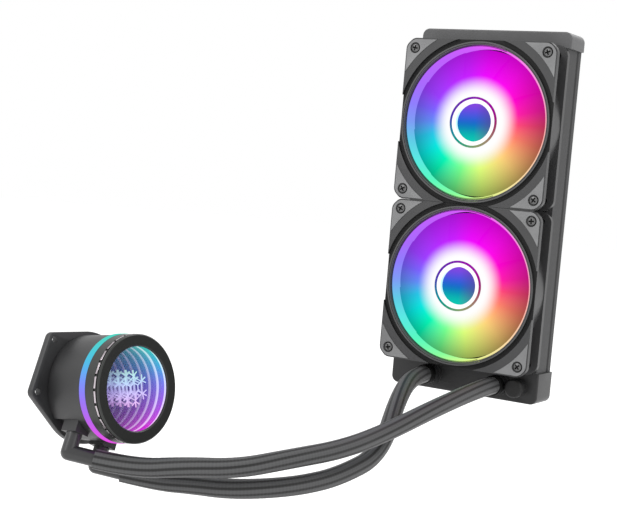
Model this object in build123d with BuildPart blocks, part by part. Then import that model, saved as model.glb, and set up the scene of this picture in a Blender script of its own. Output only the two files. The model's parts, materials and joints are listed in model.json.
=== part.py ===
from build123d import *
from math import cos, pi, radians, sin, tan
import os

# All in one liquid cooler for a processor: a radiator with two fans, two hoses and a round pump head.
# Millimetres. The origin is the centre of the radiator's rear face, where the case screws go in.
# +X is to the right seen from the fans, +Y points to the rear, +Z is up.

os.makedirs("parts", exist_ok=True)

# Radiator
radiator_width = 120.0
radiator_depth = 27.0
core_length = 237.0
core_drop = 0.5
top_tank_height = 12.0
bottom_tank_height = 23.0
tank_wall = 1.2
tank_corner = 5.5
tank_edge = 1.0
header_thickness = 1.5
braze_gap = 0.05

# Flat tubes and folded fins
tube_count = 12
tube_pitch = 8.0
tube_thickness = 2.0
tube_wall = 0.35
tube_depth = 23.0
tube_reach = 1.0
fin_folds = 12
fin_thickness = 0.4
fin_depth = 22.0

# Side frames, folded from sheet
frame_inset = 2.0
frame_sheet = 1.2
frame_flange = 11.5
bead_depth = 0.8
bead_width = 4.0
bead_from_rear = 7.0

# Screw holes, the same grid on the fans, the front flanges and the rear flanges
screw_pitch = 105.0
case_hole_radius = 1.6
fan_thread_radius = 1.8

# Refill plug
plug_x = 45.5
plug_neck_radius = 6.2
plug_neck_height = 6.0
plug_bore_radius = 3.5
plug_cap_radius = 6.85
plug_cap_thickness = 5.0
plug_stem_length = 9.0
seal_thickness = 1.0

# Hose ports on the bottom tank
port_spacing = 56.0
port_shift = 1.5
port_boss_radius = 8.6
port_boss_height = 1.5
port_bore_radius = 4.5
port_collar_radius = 7.3
port_collar_length = 6.5
port_tail_length = 3.0
water_radius = 3.0
thread_gap = 0.05

# Fans
fan_size = 120.0
fan_depth = 25.0
fan_corner = 5.5
fan_flange = 4.0
fan_bore_radius = 57.5
fan_wall = 1.9
fan_hole_radius = 2.2
fan_gap = 0.2
light_ring_wall = 2.0
light_ring_front = 1.0
light_ring_length = 17.0
fit_gap = 0.1

# Corner pads
pad_thickness = 1.5
pad_border = 0.9
pad_arc_radius = 68.5
pad_hole_radius = 4.1
pad_corner = 5.0

# Fan screws
screw_radius = 1.7
screw_head_radius = 3.4
screw_head_height = 1.7
screw_tip = 4.0

# Fan motor base, moulded with the frame
base_radius = 19.0
base_thickness = 2.5
base_rise = 0.6
arm_count = 4
arm_width = 5.0
arm_lean = 14.0
bearing_tube_radius = 5.0
bearing_tube_wall = 1.0
bearing_tube_height = 10.5
bearing_bore_gap = 0.03

# Rotor
hub_radius = 18.6
hub_wall = 1.3
hub_front = 2.0
hub_clearance = 1.2
hub_recess = 5.0
hub_floor = 1.5
blade_count = 9
blade_tip_gap = 1.6
blade_thickness = 1.5
blade_root_chord = 20.0
blade_tip_chord = 46.0
blade_root_pitch = 46.0
blade_tip_pitch = 24.0
blade_camber = 0.12
blade_sweep = 10.0
shaft_radius = 1.5
hub_mirror_radius = 13.9
hub_mirror_thickness = 1.0
magnet_wall = 1.5
magnet_length = 9.0
stator_gap = 0.6
stator_length = 7.0
stator_poles = 4
stator_pole_width = 5.0
board_thickness = 1.0

# Hoses
hose_radius = 6.4
hose_port_run = 24.0
run_share = 0.45

# Pump head: its own frame lies on the cold plate, with its axis out through the window
pump_origin = (-163.0, -275.0, -140.5)
pump_azimuth = 83.5
pump_tilt = 8.5
pump_roll = -25.5
pump_length = 55.0
pump_radius = 35.0
cold_plate_radius = 27.5
cold_plate_thickness = 3.2
cold_fin_count = 11
cold_fin_pitch = 2.0
cold_fin_thickness = 0.8
cold_fin_height = 2.2
cold_fin_length = 22.0
plate_screw_count = 6
plate_screw_ring = 24.8
plate_screw_radius = 1.1
plate_screw_head_radius = 2.0
plate_screw_head_height = 1.2
plate_screw_length = 6.0
gasket_inner_radius = 20.5
gasket_width = 2.2
gasket_thickness = 0.9

# Mounting ring with four lugs
ring_base = 3.4
ring_thickness = 4.8
ring_outer_radius = 38.3
lug_circle = 42.7
lug_half_angle = 25.0
lug_radius = 4.6
lug_hole_radius = 2.1
lug_web_width = 15.0
lug_web_root = 2.0

# Pump block
block_radius = 30.0
block_top = 31.0
neck_radius = 27.4
well_radius = 21.0
chamber_radius = 16.0
chamber_floor = 7.6
chamber_height = 7.2
inlet_radius = 4.5
fin_room_radius = 17.5
boss_spacing = 26.0
boss_width = 11.5
boss_reach = 36.0
boss_level = 24.0
boss_half_height = 6.5
socket_depth = 7.0
socket_bore_inset = 21.5
channel_radius = 2.0
notch_gap = 0.2

# Elbows
elbow_drop = 12.5
elbow_radius = 5.1
elbow_reach = 17.0
elbow_swivel = 38.0
elbow_spigot_radius = 3.9
elbow_spigot_length = 6.0
elbow_seal_width = 1.2
elbow_seal_radius = 4.0

# Canned motor
impeller_radius = 14.5
impeller_disc = 1.6
impeller_gap = 0.6
vane_count = 6
vane_height = 3.6
vane_thickness = 1.4
vane_start = 3.0
impeller_hub_radius = 3.4
rotor_radius = 8.0
rotor_length = 10.0
pin_radius = 1.2
running_gap = 0.05
can_radius = 9.4
can_wall = 0.8
can_rim_radius = 17.4
can_end = 2.4
pump_stator_radius = 20.0
pump_stator_length = 8.5
pump_stator_poles = 6
pump_stator_slot = 3.6

# Shell, light band, bezel and mirror stack
shell_radius = 34.5
shell_wall = 1.6
shell_base = 8.4
band_base = 36.7
band_height = 6.1
band_radius = 35.3
band_inner_radius = 31.0
ledge_width = 1.8
bezel_lip = 1.6
window_radius = 27.0
bezel_wall = 2.6
bezel_chamfer = 0.9
glass_thickness = 1.5
glass_overlap = 2.6
mirror_level = 39.0
mirror_thickness = 1.4
mirror_light_wall = 1.4
board_level = 35.0
pump_board_radius = 29.0
post_radius = 2.5
post_count = 3
post_circle = 26.0
emblem_thickness = 1.0
emblem_radius = 11.0
emblem_bar = 2.4

# Worked out places
core_top = core_length / 2 - core_drop
core_bottom = -core_length / 2 - core_drop
front_face = -radiator_depth
half_screws = screw_pitch / 2
frame_face = radiator_width / 2 - frame_inset
port_level = core_bottom - bottom_tank_height / 2
hose_port_y = front_face - port_boss_height - port_collar_length


def save(piece, name):
    # Labels a finished piece and writes its file.
    piece.part.label = name
    export_step(piece.part, "parts/" + name + ".step")


def axial(base):
    # A plane through the axis of base: x points outwards, y along the axis.
    return Plane(origin=base.origin, x_dir=base.x_dir, z_dir=-base.y_dir)


def axis_of(base):
    return Axis(base.origin, base.z_dir)


def turned(base, points):
    # A body of revolution about the axis of base, from a closed outline of (radius, height) points.
    with BuildPart() as piece:
        with BuildSketch(axial(base)):
            with BuildLine():
                Polyline(*points, close=True)
            make_face()
        revolve(axis=axis_of(base))
    return piece


def ring(base, inner, outer, low, high):
    # A plain ring or, with no inner radius, a disc.
    with BuildPart() as piece:
        with BuildSketch(base.offset(low)):
            Circle(outer)
            if inner > 0:
                Circle(inner, mode=Mode.SUBTRACT)
        extrude(amount=high - low)
    return piece


# Radiator tanks, open towards the core. The bottom one has raised seats for the two hose ports
# and the neck of the refill plug on its front.
def make_tank(name, low, high, at_top):
    tank_front = Plane.XZ.offset(radiator_depth)
    port_spots = [(port_shift + side * port_spacing / 2, port_level) for side in (-1, 1)]
    plug_spot = (plug_x, port_level)
    with BuildPart() as tank:
        with BuildSketch(Plane.XZ) as outline:
            with Locations((0, (low + high) / 2)):
                Rectangle(radiator_width, high - low)
            ends = outline.vertices().group_by(Axis.Y)
            fillet(ends[-1] if at_top else ends[0], tank_corner)
        extrude(amount=radiator_depth)
        core_side = tank.faces().sort_by(Axis.Z)[0 if at_top else -1]
        rims = tank.faces().filter_by(Axis.Y).edges()
        fillet([edge for edge in rims if edge not in core_side.edges()], tank_edge)
        offset(amount=-tank_wall, openings=tank.faces().sort_by(Axis.Z)[0 if at_top else -1])
        if not at_top:
            with BuildSketch(tank_front):
                with Locations(*port_spots):
                    Circle(port_boss_radius)
            extrude(amount=port_boss_height)
            with BuildSketch(tank_front):
                with Locations(plug_spot):
                    Circle(plug_neck_radius)
            extrude(amount=plug_neck_height)
            with BuildSketch(tank_front.offset(port_boss_height)):
                with Locations(*port_spots):
                    Circle(port_bore_radius)
            extrude(amount=-port_boss_height - tank_wall, mode=Mode.SUBTRACT)
            with BuildSketch(tank_front.offset(plug_neck_height)):
                with Locations(plug_spot):
                    Circle(plug_bore_radius)
            extrude(amount=-plug_neck_height - tank_wall, mode=Mode.SUBTRACT)
    save(tank, name)


make_tank("top_tank", core_top, core_top + top_tank_height, True)
make_tank("bottom_tank", core_bottom - bottom_tank_height, core_bottom, False)


# Header plates, brazed inside the rims of the tanks, with a slot for each tube
def make_header(name, low):
    inside_width = radiator_width - 2 * tank_wall - 2 * braze_gap
    inside_depth = radiator_depth - 2 * tank_wall - 2 * braze_gap
    with BuildPart() as header:
        with BuildSketch(Plane.XY.offset(low)):
            with Locations((0, front_face / 2)):
                Rectangle(inside_width, inside_depth)
                with GridLocations(tube_pitch, 1, tube_count, 1):
                    slot_length = tube_depth + 2 * braze_gap
                    SlotOverall(slot_length, tube_thickness + 2 * braze_gap, rotation=90, mode=Mode.SUBTRACT)
        extrude(amount=header_thickness)
    save(header, name)


make_header("top_header", core_top)
make_header("bottom_header", core_bottom - header_thickness)


# Flat tubes between the headers, hollow for the coolant
tube_low = core_bottom - header_thickness - tube_reach
tube_length = core_length + 2 * header_thickness + 2 * tube_reach
with BuildPart() as flat_tubes:
    with BuildSketch(Plane.XY.offset(tube_low)):
        with Locations((0, front_face / 2)):
            with GridLocations(tube_pitch, 1, tube_count, 1):
                SlotOverall(tube_depth, tube_thickness, rotation=90)
                Rectangle(tube_thickness - 2 * tube_wall, tube_depth - tube_thickness, mode=Mode.SUBTRACT)
    extrude(amount=tube_length)
save(flat_tubes, "flat_tubes")


# Folded fins between the tubes
def fin_outline():
    # One folded strip seen from the front: up along one face and back down along the other.
    reach = (tube_pitch - tube_thickness) / 2 - braze_gap - fin_thickness / 2
    step = core_length / fin_folds
    middle = [(reach if fold % 2 else -reach, core_bottom + fold * step) for fold in range(fin_folds + 1)]
    right = [(x + fin_thickness / 2, z) for x, z in middle]
    left = [(x - fin_thickness / 2, z) for x, z in middle]
    return right + left[::-1]


with BuildPart() as fin_strips:
    with BuildSketch(Plane.XZ.offset((radiator_depth - fin_depth) / 2)):
        with GridLocations(tube_pitch, 1, tube_count - 1, 1):
            Polygon(*fin_outline(), align=None)
    extrude(amount=fin_depth)
save(fin_strips, "fin_strips")


# Side frames: a channel with its web outwards and a pressed bead along it
def frame_section(side):
    outer = side * frame_face
    inner = side * (frame_face - frame_flange)
    web = side * (frame_face - frame_sheet)
    bead = side * (frame_face - bead_depth)
    bead_back = side * (frame_face - bead_depth - frame_sheet)
    rear = -bead_from_rear + bead_width / 2
    front = -bead_from_rear - bead_width / 2
    slope = bead_depth
    return [
        (inner, 0),
        (outer, 0),
        (outer, rear),
        (bead, rear - slope),
        (bead, front + slope),
        (outer, front),
        (outer, front_face),
        (inner, front_face),
        (inner, front_face + frame_sheet),
        (web, front_face + frame_sheet),
        (web, front),
        (bead_back, front + slope),
        (bead_back, rear - slope),
        (web, rear),
        (web, -frame_sheet),
        (inner, -frame_sheet),
    ]


def make_side_frame(name, side):
    fan_rows = [place + end for place in (-fan_size / 2, fan_size / 2) for end in (-half_screws, half_screws)]
    spots = [(side * half_screws, row) for row in fan_rows]
    with BuildPart() as frame:
        with BuildSketch(Plane.XY.offset(core_bottom)):
            with BuildLine():
                Polyline(*frame_section(side), close=True)
            make_face()
        extrude(amount=core_length)
        with BuildSketch(Plane.XZ):
            with Locations(*spots):
                Circle(case_hole_radius)
        extrude(amount=frame_sheet, mode=Mode.SUBTRACT)
        with BuildSketch(Plane.XZ.offset(radiator_depth)):
            with Locations(*spots):
                Circle(fan_thread_radius)
        extrude(amount=-frame_sheet, mode=Mode.SUBTRACT)
    save(frame, name)


make_side_frame("side_frame_left", -1)
make_side_frame("side_frame_right", 1)


# Refill plug and its seal
plug_base = Plane(origin=(plug_x, front_face, port_level), x_dir=(1, 0, 0), z_dir=(0, -1, 0))
plug_seat = plug_neck_height + seal_thickness
stem_radius = plug_bore_radius - thread_gap
refill_plug = turned(
    plug_base,
    [
        (0, plug_seat - plug_stem_length),
        (stem_radius, plug_seat - plug_stem_length),
        (stem_radius, plug_seat),
        (plug_cap_radius, plug_seat),
        (plug_cap_radius, plug_seat + plug_cap_thickness - tank_edge),
        (plug_cap_radius - tank_edge, plug_seat + plug_cap_thickness),
        (0, plug_seat + plug_cap_thickness),
    ],
)
save(refill_plug, "refill_plug")
plug_seal = ring(plug_base, plug_bore_radius + thread_gap, plug_neck_radius - 1, plug_neck_height, plug_seat)
save(plug_seal, "plug_seal")


# Hose ports, screwed into the bottom tank
def make_port(name, side):
    base = Plane(
        origin=(port_shift + side * port_spacing / 2, front_face - port_boss_height, port_level),
        x_dir=(1, 0, 0),
        z_dir=(0, -1, 0),
    )
    tail = port_bore_radius - thread_gap
    depth = port_boss_height + tank_wall + port_tail_length
    port = turned(
        base,
        [
            (water_radius, -depth),
            (tail, -depth),
            (tail, 0),
            (port_collar_radius, 0),
            (port_collar_radius, port_collar_length - tank_edge),
            (port_collar_radius - tank_edge / 2, port_collar_length),
            (water_radius, port_collar_length),
        ],
    )
    save(port, name)


make_port("port_left", -1)
make_port("port_right", 1)


# Fans
fan_centres = (("fan_top", fan_size / 2), ("fan_bottom", -fan_size / 2))
pad_level = fan_depth - pad_thickness
light_low = fan_depth - light_ring_front - light_ring_length
hub_high = fan_depth - hub_front
base_top = pad_thickness + base_rise + base_thickness
hub_low = base_top + hub_clearance
floor_high = hub_high - hub_recess
floor_low = floor_high - hub_floor
tip_radius = fan_bore_radius - light_ring_wall - blade_tip_gap


def fan_plane(height):
    # Lies on the fan's rear face, its axis towards the front.
    return Plane(origin=(0, front_face, height), x_dir=(1, 0, 0), z_dir=(0, -1, 0))


def pad_outline(grow):
    # The four corner pads of one fan: chamfered corners outside an arc about the fan's axis.
    size = fan_size - fan_gap - 2 * pad_border + 2 * grow
    outline = Rectangle(size, size)
    chamfer(outline.vertices(), pad_corner)
    Circle(pad_arc_radius - grow, mode=Mode.SUBTRACT)


def fan_holes(radius):
    with GridLocations(screw_pitch, screw_pitch, 2, 2):
        Circle(radius, mode=Mode.SUBTRACT)


def make_fan_frame(name, base):
    side = fan_size - fan_gap
    with BuildPart() as frame:
        for low in (pad_thickness / 3, fan_depth - fan_flange - pad_thickness / 3):
            with BuildSketch(base.offset(low)):
                plate = Rectangle(side, side)
                chamfer(plate.vertices(), fan_corner)
                Circle(fan_bore_radius, mode=Mode.SUBTRACT)
                fan_holes(fan_hole_radius)
            extrude(amount=fan_flange)
        with BuildSketch(base.offset(fan_flange / 2)):
            Circle(fan_bore_radius + fan_wall)
            Circle(fan_bore_radius, mode=Mode.SUBTRACT)
        extrude(amount=fan_depth - fan_flange)
        for low in (0, fan_depth - pad_thickness):
            with BuildSketch(base.offset(low)):
                pad_outline(fit_gap)
            extrude(amount=pad_thickness, mode=Mode.SUBTRACT)
        with BuildSketch(base.offset(base_rise)):
            Circle(base_radius)
            with PolarLocations(0, arm_count, start_angle=arm_lean):
                with Locations((fan_bore_radius / 2 + fan_wall / 2, arm_width)):
                    Rectangle(fan_bore_radius, arm_width)
        extrude(amount=base_thickness + pad_thickness)
        with BuildSketch(base.offset(base_top)):
            Circle(bearing_tube_radius)
        extrude(amount=bearing_tube_height)
        with BuildSketch(base.offset(base_top)):
            Circle(bearing_tube_radius - bearing_tube_wall)
        extrude(amount=bearing_tube_height, mode=Mode.SUBTRACT)
    save(frame, name + "_frame")


# One blade lofted through three cambered sections, trimmed later to the tip circle
def blade_section(plane, chord):
    half = chord / 2
    rise = chord * blade_camber
    with BuildSketch(plane) as section:
        with BuildLine():
            low = ThreePointArc((-half, 0), (0, rise), (half, 0))
            high = ThreePointArc((-half, blade_thickness), (0, rise + blade_thickness), (half, blade_thickness))
            Line(low @ 0, high @ 0)
            Line(low @ 1, high @ 1)
        make_face()
    return section.sketch


def section_plane(base, distance, pitch, lean):
    # Stands square to a radius, turned by the pitch of the blade there.
    middle = (hub_low + hub_high) / 2
    centre = base.origin + base.x_dir * distance + base.y_dir * lean + base.z_dir * middle
    tangent = base.y_dir * cos(radians(pitch)) + base.z_dir * sin(radians(pitch))
    return Plane(origin=centre, x_dir=tangent, z_dir=base.x_dir)


def make_blade(base):
    stations = (
        (hub_radius * 0.7, blade_root_chord, blade_root_pitch, 0),
        (tip_radius * 0.65, (blade_root_chord + blade_tip_chord) / 2, (blade_root_pitch + blade_tip_pitch) / 2, 0),
        (tip_radius + hub_wall, blade_tip_chord, blade_tip_pitch, blade_sweep),
    )
    sections = []
    for distance, chord, pitch, lean in stations:
        sections.append(blade_section(section_plane(base, distance, pitch, lean), chord))
    with BuildPart() as blade:
        loft(sections)
    return blade


def make_rotor(name, base):
    blade = make_blade(base)
    turns = [base.location * Rotation(0, 0, 360 * n / blade_count) * base.location.inverse() for n in range(blade_count)]
    with BuildPart() as rotor:
        for turn in turns:
            add(blade.part.moved(turn))
        with BuildSketch(base.offset(hub_low)):
            Circle(tip_radius)
        extrude(amount=hub_high - hub_low, mode=Mode.INTERSECT)
        with BuildSketch(base.offset(hub_low)):
            Circle(hub_radius - hub_wall)
        extrude(amount=hub_high - hub_low, mode=Mode.SUBTRACT)
        with BuildSketch(axial(base)):
            with BuildLine():
                Polyline(*hub_outline(), close=True)
            make_face()
        revolve(axis=axis_of(base))
    save(rotor, name + "_rotor")


def hub_outline():
    # Half section of the hub: a skirt over the motor, a floor on the shaft and a recess at the front.
    inner = hub_radius - hub_wall
    bore = shaft_radius + running_gap
    return [
        (bore, floor_low),
        (inner, floor_low),
        (inner, hub_low),
        (hub_radius, hub_low),
        (hub_radius, hub_high),
        (inner, hub_high),
        (inner, floor_high),
        (bore, floor_high),
    ]


def make_hub_pieces(name, base):
    inner = hub_radius - hub_wall
    mirror_top = floor_high + hub_mirror_thickness
    light = turned(
        base,
        [
            (hub_mirror_radius + fit_gap, floor_high),
            (inner - fit_gap, floor_high),
            (inner - fit_gap, hub_high),
            (inner - hub_wall, hub_high),
            (hub_mirror_radius + fit_gap, mirror_top),
        ],
    )
    save(light, name + "_hub_light")
    save(ring(base, 0, hub_mirror_radius, floor_high, mirror_top), name + "_hub_mirror")


def make_motor(name, base):
    inner = hub_radius - hub_wall
    magnet_inner = inner - fit_gap - magnet_wall
    magnet_low = hub_low + board_thickness
    save(ring(base, magnet_inner, inner - fit_gap, magnet_low, magnet_low + magnet_length), name + "_magnet")
    shaft_low = base_top + fit_gap
    save(ring(base, 0, shaft_radius, shaft_low, floor_high), name + "_shaft")
    bearing_outer = bearing_tube_radius - bearing_tube_wall
    bearing_top = base_top + bearing_tube_height
    save(ring(base, shaft_radius + bearing_bore_gap, bearing_outer, base_top + 1, bearing_top), name + "_bearing")
    board_radius = magnet_inner - stator_gap
    board = ring(base, bearing_tube_radius + fit_gap, board_radius, base_top, base_top + board_thickness)
    save(board, name + "_board")
    with BuildPart() as stator:
        with BuildSketch(base.offset(base_top + 2 * board_thickness)):
            Circle(board_radius)
            with PolarLocations(board_radius * 0.72, stator_poles, start_angle=45):
                SlotOverall(board_radius * 0.62, stator_pole_width, mode=Mode.SUBTRACT)
            Circle(bearing_tube_radius + fit_gap, mode=Mode.SUBTRACT)
        extrude(amount=stator_length)
    save(stator, name + "_stator")


for fan_name, fan_height in fan_centres:
    fan_base = fan_plane(fan_height)
    make_fan_frame(fan_name, fan_base)
    make_rotor(fan_name, fan_base)
    make_hub_pieces(fan_name, fan_base)
    make_motor(fan_name, fan_base)
    ring_inner = fan_bore_radius - light_ring_wall
    light_ring = ring(fan_base, ring_inner, fan_bore_radius - fit_gap, light_low, light_low + light_ring_length)
    save(light_ring, fan_name + "_light_ring")


# Corner pads of both fans, front and rear, and the screws through them
def make_pads(name, low):
    with BuildPart() as pads:
        for _, height in fan_centres:
            with BuildSketch(fan_plane(height).offset(low)):
                pad_outline(0)
                fan_holes(pad_hole_radius)
            extrude(amount=pad_thickness)
    save(pads, name)


make_pads("front_pads", pad_level)
make_pads("rear_pads", 0)

with BuildPart() as fan_screws:
    for _, screw_height in fan_centres:
        screw_base = fan_plane(screw_height)
        with BuildSketch(screw_base.offset(pad_level)):
            with GridLocations(screw_pitch, screw_pitch, 2, 2):
                Circle(screw_head_radius)
        extrude(amount=screw_head_height)
        with BuildSketch(screw_base.offset(pad_level)):
            with GridLocations(screw_pitch, screw_pitch, 2, 2):
                Circle(screw_radius)
        extrude(amount=-pad_level - screw_tip)
save(fan_screws, "fan_screws")


# Pump head frame: x to the right of the window, y up from the hoses, z out through the window
def pump_frame():
    turn = radians(pump_azimuth)
    lift = radians(pump_tilt)
    roll = radians(pump_roll)
    axis = Vector(sin(turn) * cos(lift), -cos(turn) * cos(lift), sin(lift))
    level = Vector(cos(turn), sin(turn), 0)
    upright = axis.cross(level)
    return Plane(origin=pump_origin, x_dir=level * cos(roll) + upright * sin(roll), z_dir=axis)


pump = pump_frame()


# Cold plate with fins on its wet side, its screws and its gasket
with BuildPart() as cold_plate:
    with BuildSketch(pump):
        Circle(cold_plate_radius)
    extrude(amount=cold_plate_thickness)
    with BuildSketch(pump.offset(cold_plate_thickness)):
        with GridLocations(cold_fin_pitch, 1, cold_fin_count, 1):
            Rectangle(cold_fin_thickness, cold_fin_length)
    extrude(amount=cold_fin_height)
    with BuildSketch(pump):
        with PolarLocations(plate_screw_ring, plate_screw_count):
            Circle(plate_screw_radius + fit_gap)
    extrude(amount=cold_plate_thickness, mode=Mode.SUBTRACT)
    with BuildSketch(pump):
        with PolarLocations(plate_screw_ring, plate_screw_count):
            Circle(plate_screw_head_radius + fit_gap)
    extrude(amount=plate_screw_head_height + fit_gap, mode=Mode.SUBTRACT)
save(cold_plate, "cold_plate")

with BuildPart() as cold_plate_screws:
    with BuildSketch(pump.offset(fit_gap)):
        with PolarLocations(plate_screw_ring, plate_screw_count):
            Circle(plate_screw_head_radius)
    extrude(amount=plate_screw_head_height)
    with BuildSketch(pump.offset(fit_gap)):
        with PolarLocations(plate_screw_ring, plate_screw_count):
            Circle(plate_screw_radius)
    extrude(amount=plate_screw_length)
save(cold_plate_screws, "cold_plate_screws")

gasket_outer = gasket_inner_radius + gasket_width
gasket_top = cold_plate_thickness + gasket_thickness
cold_plate_gasket = ring(pump, gasket_inner_radius, gasket_outer, cold_plate_thickness, gasket_top)
save(cold_plate_gasket, "cold_plate_gasket")


# Mounting ring: two lugs on each side, each blended into the rim by a tapered web
lug_angles = (lug_half_angle, 180 - lug_half_angle, 180 + lug_half_angle, 360 - lug_half_angle)
lug_spots = [(lug_circle * cos(radians(turn)), lug_circle * sin(radians(turn))) for turn in lug_angles]


def lug_web(turn):
    # Corners of the web: wide at the rim and as wide as the lug at its hole.
    rim = ring_outer_radius - lug_web_root
    half = lug_web_width / 2
    out = Vector(cos(radians(turn)), sin(radians(turn)))
    across = Vector(-out.Y, out.X)
    corners = ((rim, -half), (rim, half), (lug_circle, lug_radius), (lug_circle, -lug_radius))
    return [out * reach + across * offset for reach, offset in corners]


with BuildPart() as mounting_ring:
    with BuildSketch(pump.offset(ring_base)):
        Circle(ring_outer_radius)
        for turn in lug_angles:
            Polygon(*lug_web(turn), align=None)
        with Locations(*lug_spots):
            Circle(lug_radius)
        Circle(cold_plate_radius + fit_gap, mode=Mode.SUBTRACT)
        with Locations(*lug_spots):
            Circle(lug_hole_radius, mode=Mode.SUBTRACT)
    extrude(amount=ring_thickness)
save(mounting_ring, "mounting_ring")


# Pump block: a turned body with the impeller chamber in the middle, a room over the fins of the cold
# plate below it and a well for the motor above it. Two bosses on its lower side take the elbows, and
# a bored water way runs from one boss to the fins and from the other to the chamber.
chamber_top = chamber_floor + chamber_height
fin_room_top = cold_plate_thickness + cold_fin_height + fit_gap
boss_middle = Plane(origin=pump.origin, x_dir=pump.x_dir, z_dir=-pump.y_dir)
boss_spots = [(side * boss_spacing / 2, boss_level) for side in (-1, 1)]
block_outline = [
    (inlet_radius, chamber_floor),
    (chamber_radius, chamber_floor),
    (chamber_radius, chamber_top),
    (well_radius, chamber_top),
    (well_radius, block_top),
    (block_radius, block_top),
    (block_radius, shell_base),
    (neck_radius, shell_base),
    (neck_radius, cold_plate_thickness),
    (gasket_outer + fit_gap, cold_plate_thickness),
    (gasket_outer + fit_gap, gasket_top + fit_gap),
    (gasket_inner_radius - fit_gap, gasket_top + fit_gap),
    (gasket_inner_radius - fit_gap, cold_plate_thickness),
    (fin_room_radius, cold_plate_thickness),
    (fin_room_radius, fin_room_top),
    (inlet_radius, fin_room_top),
]


def pump_point(x, y, z):
    return pump.origin + pump.x_dir * x + pump.y_dir * y + pump.z_dir * z


def water_ways():
    # Start and end of each bored stretch, from the sockets inwards.
    runs = []
    for side, level, height in ((-1, chamber_floor + channel_radius, chamber_top - 2 * channel_radius),
                                (1, fin_room_top - channel_radius, chamber_floor + channel_radius)):
        x = side * boss_spacing / 2
        shrink = fin_room_radius / Vector(x, socket_bore_inset).length * 0.85
        socket = pump_point(x, -boss_reach + socket_depth, boss_level)
        bend = pump_point(x, -socket_bore_inset, boss_level)
        low = pump_point(x, -socket_bore_inset, height)
        inner = pump_point(x * shrink, -socket_bore_inset * shrink, level)
        runs += [(socket, bend), (bend, low), (low, inner)]
    return runs


with BuildPart() as pump_block:
    with BuildSketch(axial(pump)):
        with BuildLine():
            Polyline(*block_outline, close=True)
        make_face()
    revolve(axis=axis_of(pump))
    with BuildSketch(boss_middle.offset(well_radius)):
        with Locations(*boss_spots):
            Rectangle(boss_width, 2 * boss_half_height)
    extrude(amount=boss_reach - well_radius)
    with BuildSketch(pump.offset(chamber_top)):
        Circle(well_radius)
    extrude(amount=block_top - chamber_top, mode=Mode.SUBTRACT)
    with BuildSketch(pump.offset(cold_plate_thickness)):
        with PolarLocations(plate_screw_ring, plate_screw_count):
            Circle(plate_screw_radius + thread_gap)
    extrude(amount=plate_screw_length - cold_plate_thickness + 2 * fit_gap, mode=Mode.SUBTRACT)
    with BuildSketch(boss_middle.offset(boss_reach)):
        with Locations(*boss_spots):
            Circle(elbow_seal_radius + thread_gap)
    extrude(amount=-socket_depth, mode=Mode.SUBTRACT)
    for start, end in water_ways():
        with BuildSketch(Plane(origin=start, z_dir=end - start)):
            Circle(channel_radius)
        extrude(amount=(end - start).length, mode=Mode.SUBTRACT)
    with BuildSketch(pump.offset(block_top)):
        with PolarLocations(post_circle, post_count, start_angle=90):
            Circle(post_radius)
    extrude(amount=board_level - block_top)
save(pump_block, "pump_block")


# Elbows: a spigot with a seal in the boss, a stub down from it and a barrel turned to the radiator
def elbow_frame(side):
    # Corner of the elbow, with x along the barrel and z up the stub.
    turn = radians(elbow_swivel)
    corner = pump_point(side * boss_spacing / 2, -boss_reach - elbow_drop, boss_level)
    barrel = pump.z_dir * cos(turn) + pump.x_dir * sin(turn)
    return Plane(origin=corner, x_dir=barrel, z_dir=pump.y_dir)


def along_barrel(side, distance):
    frame = elbow_frame(side)
    return frame.origin + frame.x_dir * distance


spigot_top = elbow_drop + elbow_spigot_length
groove_low = spigot_top - 3 * elbow_seal_width
groove_radius = elbow_spigot_radius - elbow_seal_width


def make_elbow(name, side):
    stub = elbow_frame(side)
    barrel = Plane(origin=stub.origin, x_dir=stub.y_dir, z_dir=stub.x_dir)
    with BuildPart() as elbow:
        with BuildSketch(stub):
            Circle(elbow_radius)
        extrude(amount=elbow_drop)
        with BuildSketch(stub):
            Circle(elbow_spigot_radius)
        extrude(amount=spigot_top)
        with BuildSketch(barrel):
            Circle(elbow_radius)
        extrude(amount=elbow_reach)
        with BuildSketch(axial(stub)):
            with BuildLine():
                CenterArc((0, 0), elbow_radius, -90, 180)
                Line((0, elbow_radius), (0, -elbow_radius))
            make_face()
        revolve(axis=axis_of(stub))
        with BuildSketch(stub.offset(groove_low)):
            Circle(elbow_spigot_radius)
            Circle(groove_radius, mode=Mode.SUBTRACT)
        extrude(amount=elbow_seal_width, mode=Mode.SUBTRACT)
        with BuildSketch(stub):
            Circle(channel_radius)
        extrude(amount=spigot_top, mode=Mode.SUBTRACT)
        with BuildSketch(barrel):
            Circle(water_radius)
        extrude(amount=elbow_reach, mode=Mode.SUBTRACT)
    save(elbow, name)


make_elbow("elbow_left", 1)
make_elbow("elbow_right", -1)

with BuildPart() as elbow_seals:
    for seal_side in (-1, 1):
        with BuildSketch(elbow_frame(seal_side).offset(groove_low + thread_gap)):
            Circle(elbow_seal_radius)
            Circle(groove_radius + thread_gap, mode=Mode.SUBTRACT)
        extrude(amount=elbow_seal_width - 2 * thread_gap)
save(elbow_seals, "elbow_seals")


# Impeller with curved vanes under a disc, on a hub that also carries the magnet
impeller_low = chamber_floor + impeller_gap
disc_low = impeller_low + vane_height
magnet_base = chamber_top + 2 * impeller_gap
magnet_top = magnet_base + rotor_length


vane_bow = impeller_radius / 5
vane_middle = (vane_start + impeller_radius) / 2
vane_tip = (impeller_radius - vane_thickness, -vane_thickness)
with BuildSketch() as vane:
    with BuildLine():
        front = ThreePointArc((vane_start, 0), (vane_middle, vane_bow), (impeller_radius, 0))
        back = ThreePointArc((vane_start, -vane_thickness), (vane_middle, vane_bow - vane_thickness), vane_tip)
        Line(front @ 0, back @ 0)
        Line(front @ 1, back @ 1)
    make_face()

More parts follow.
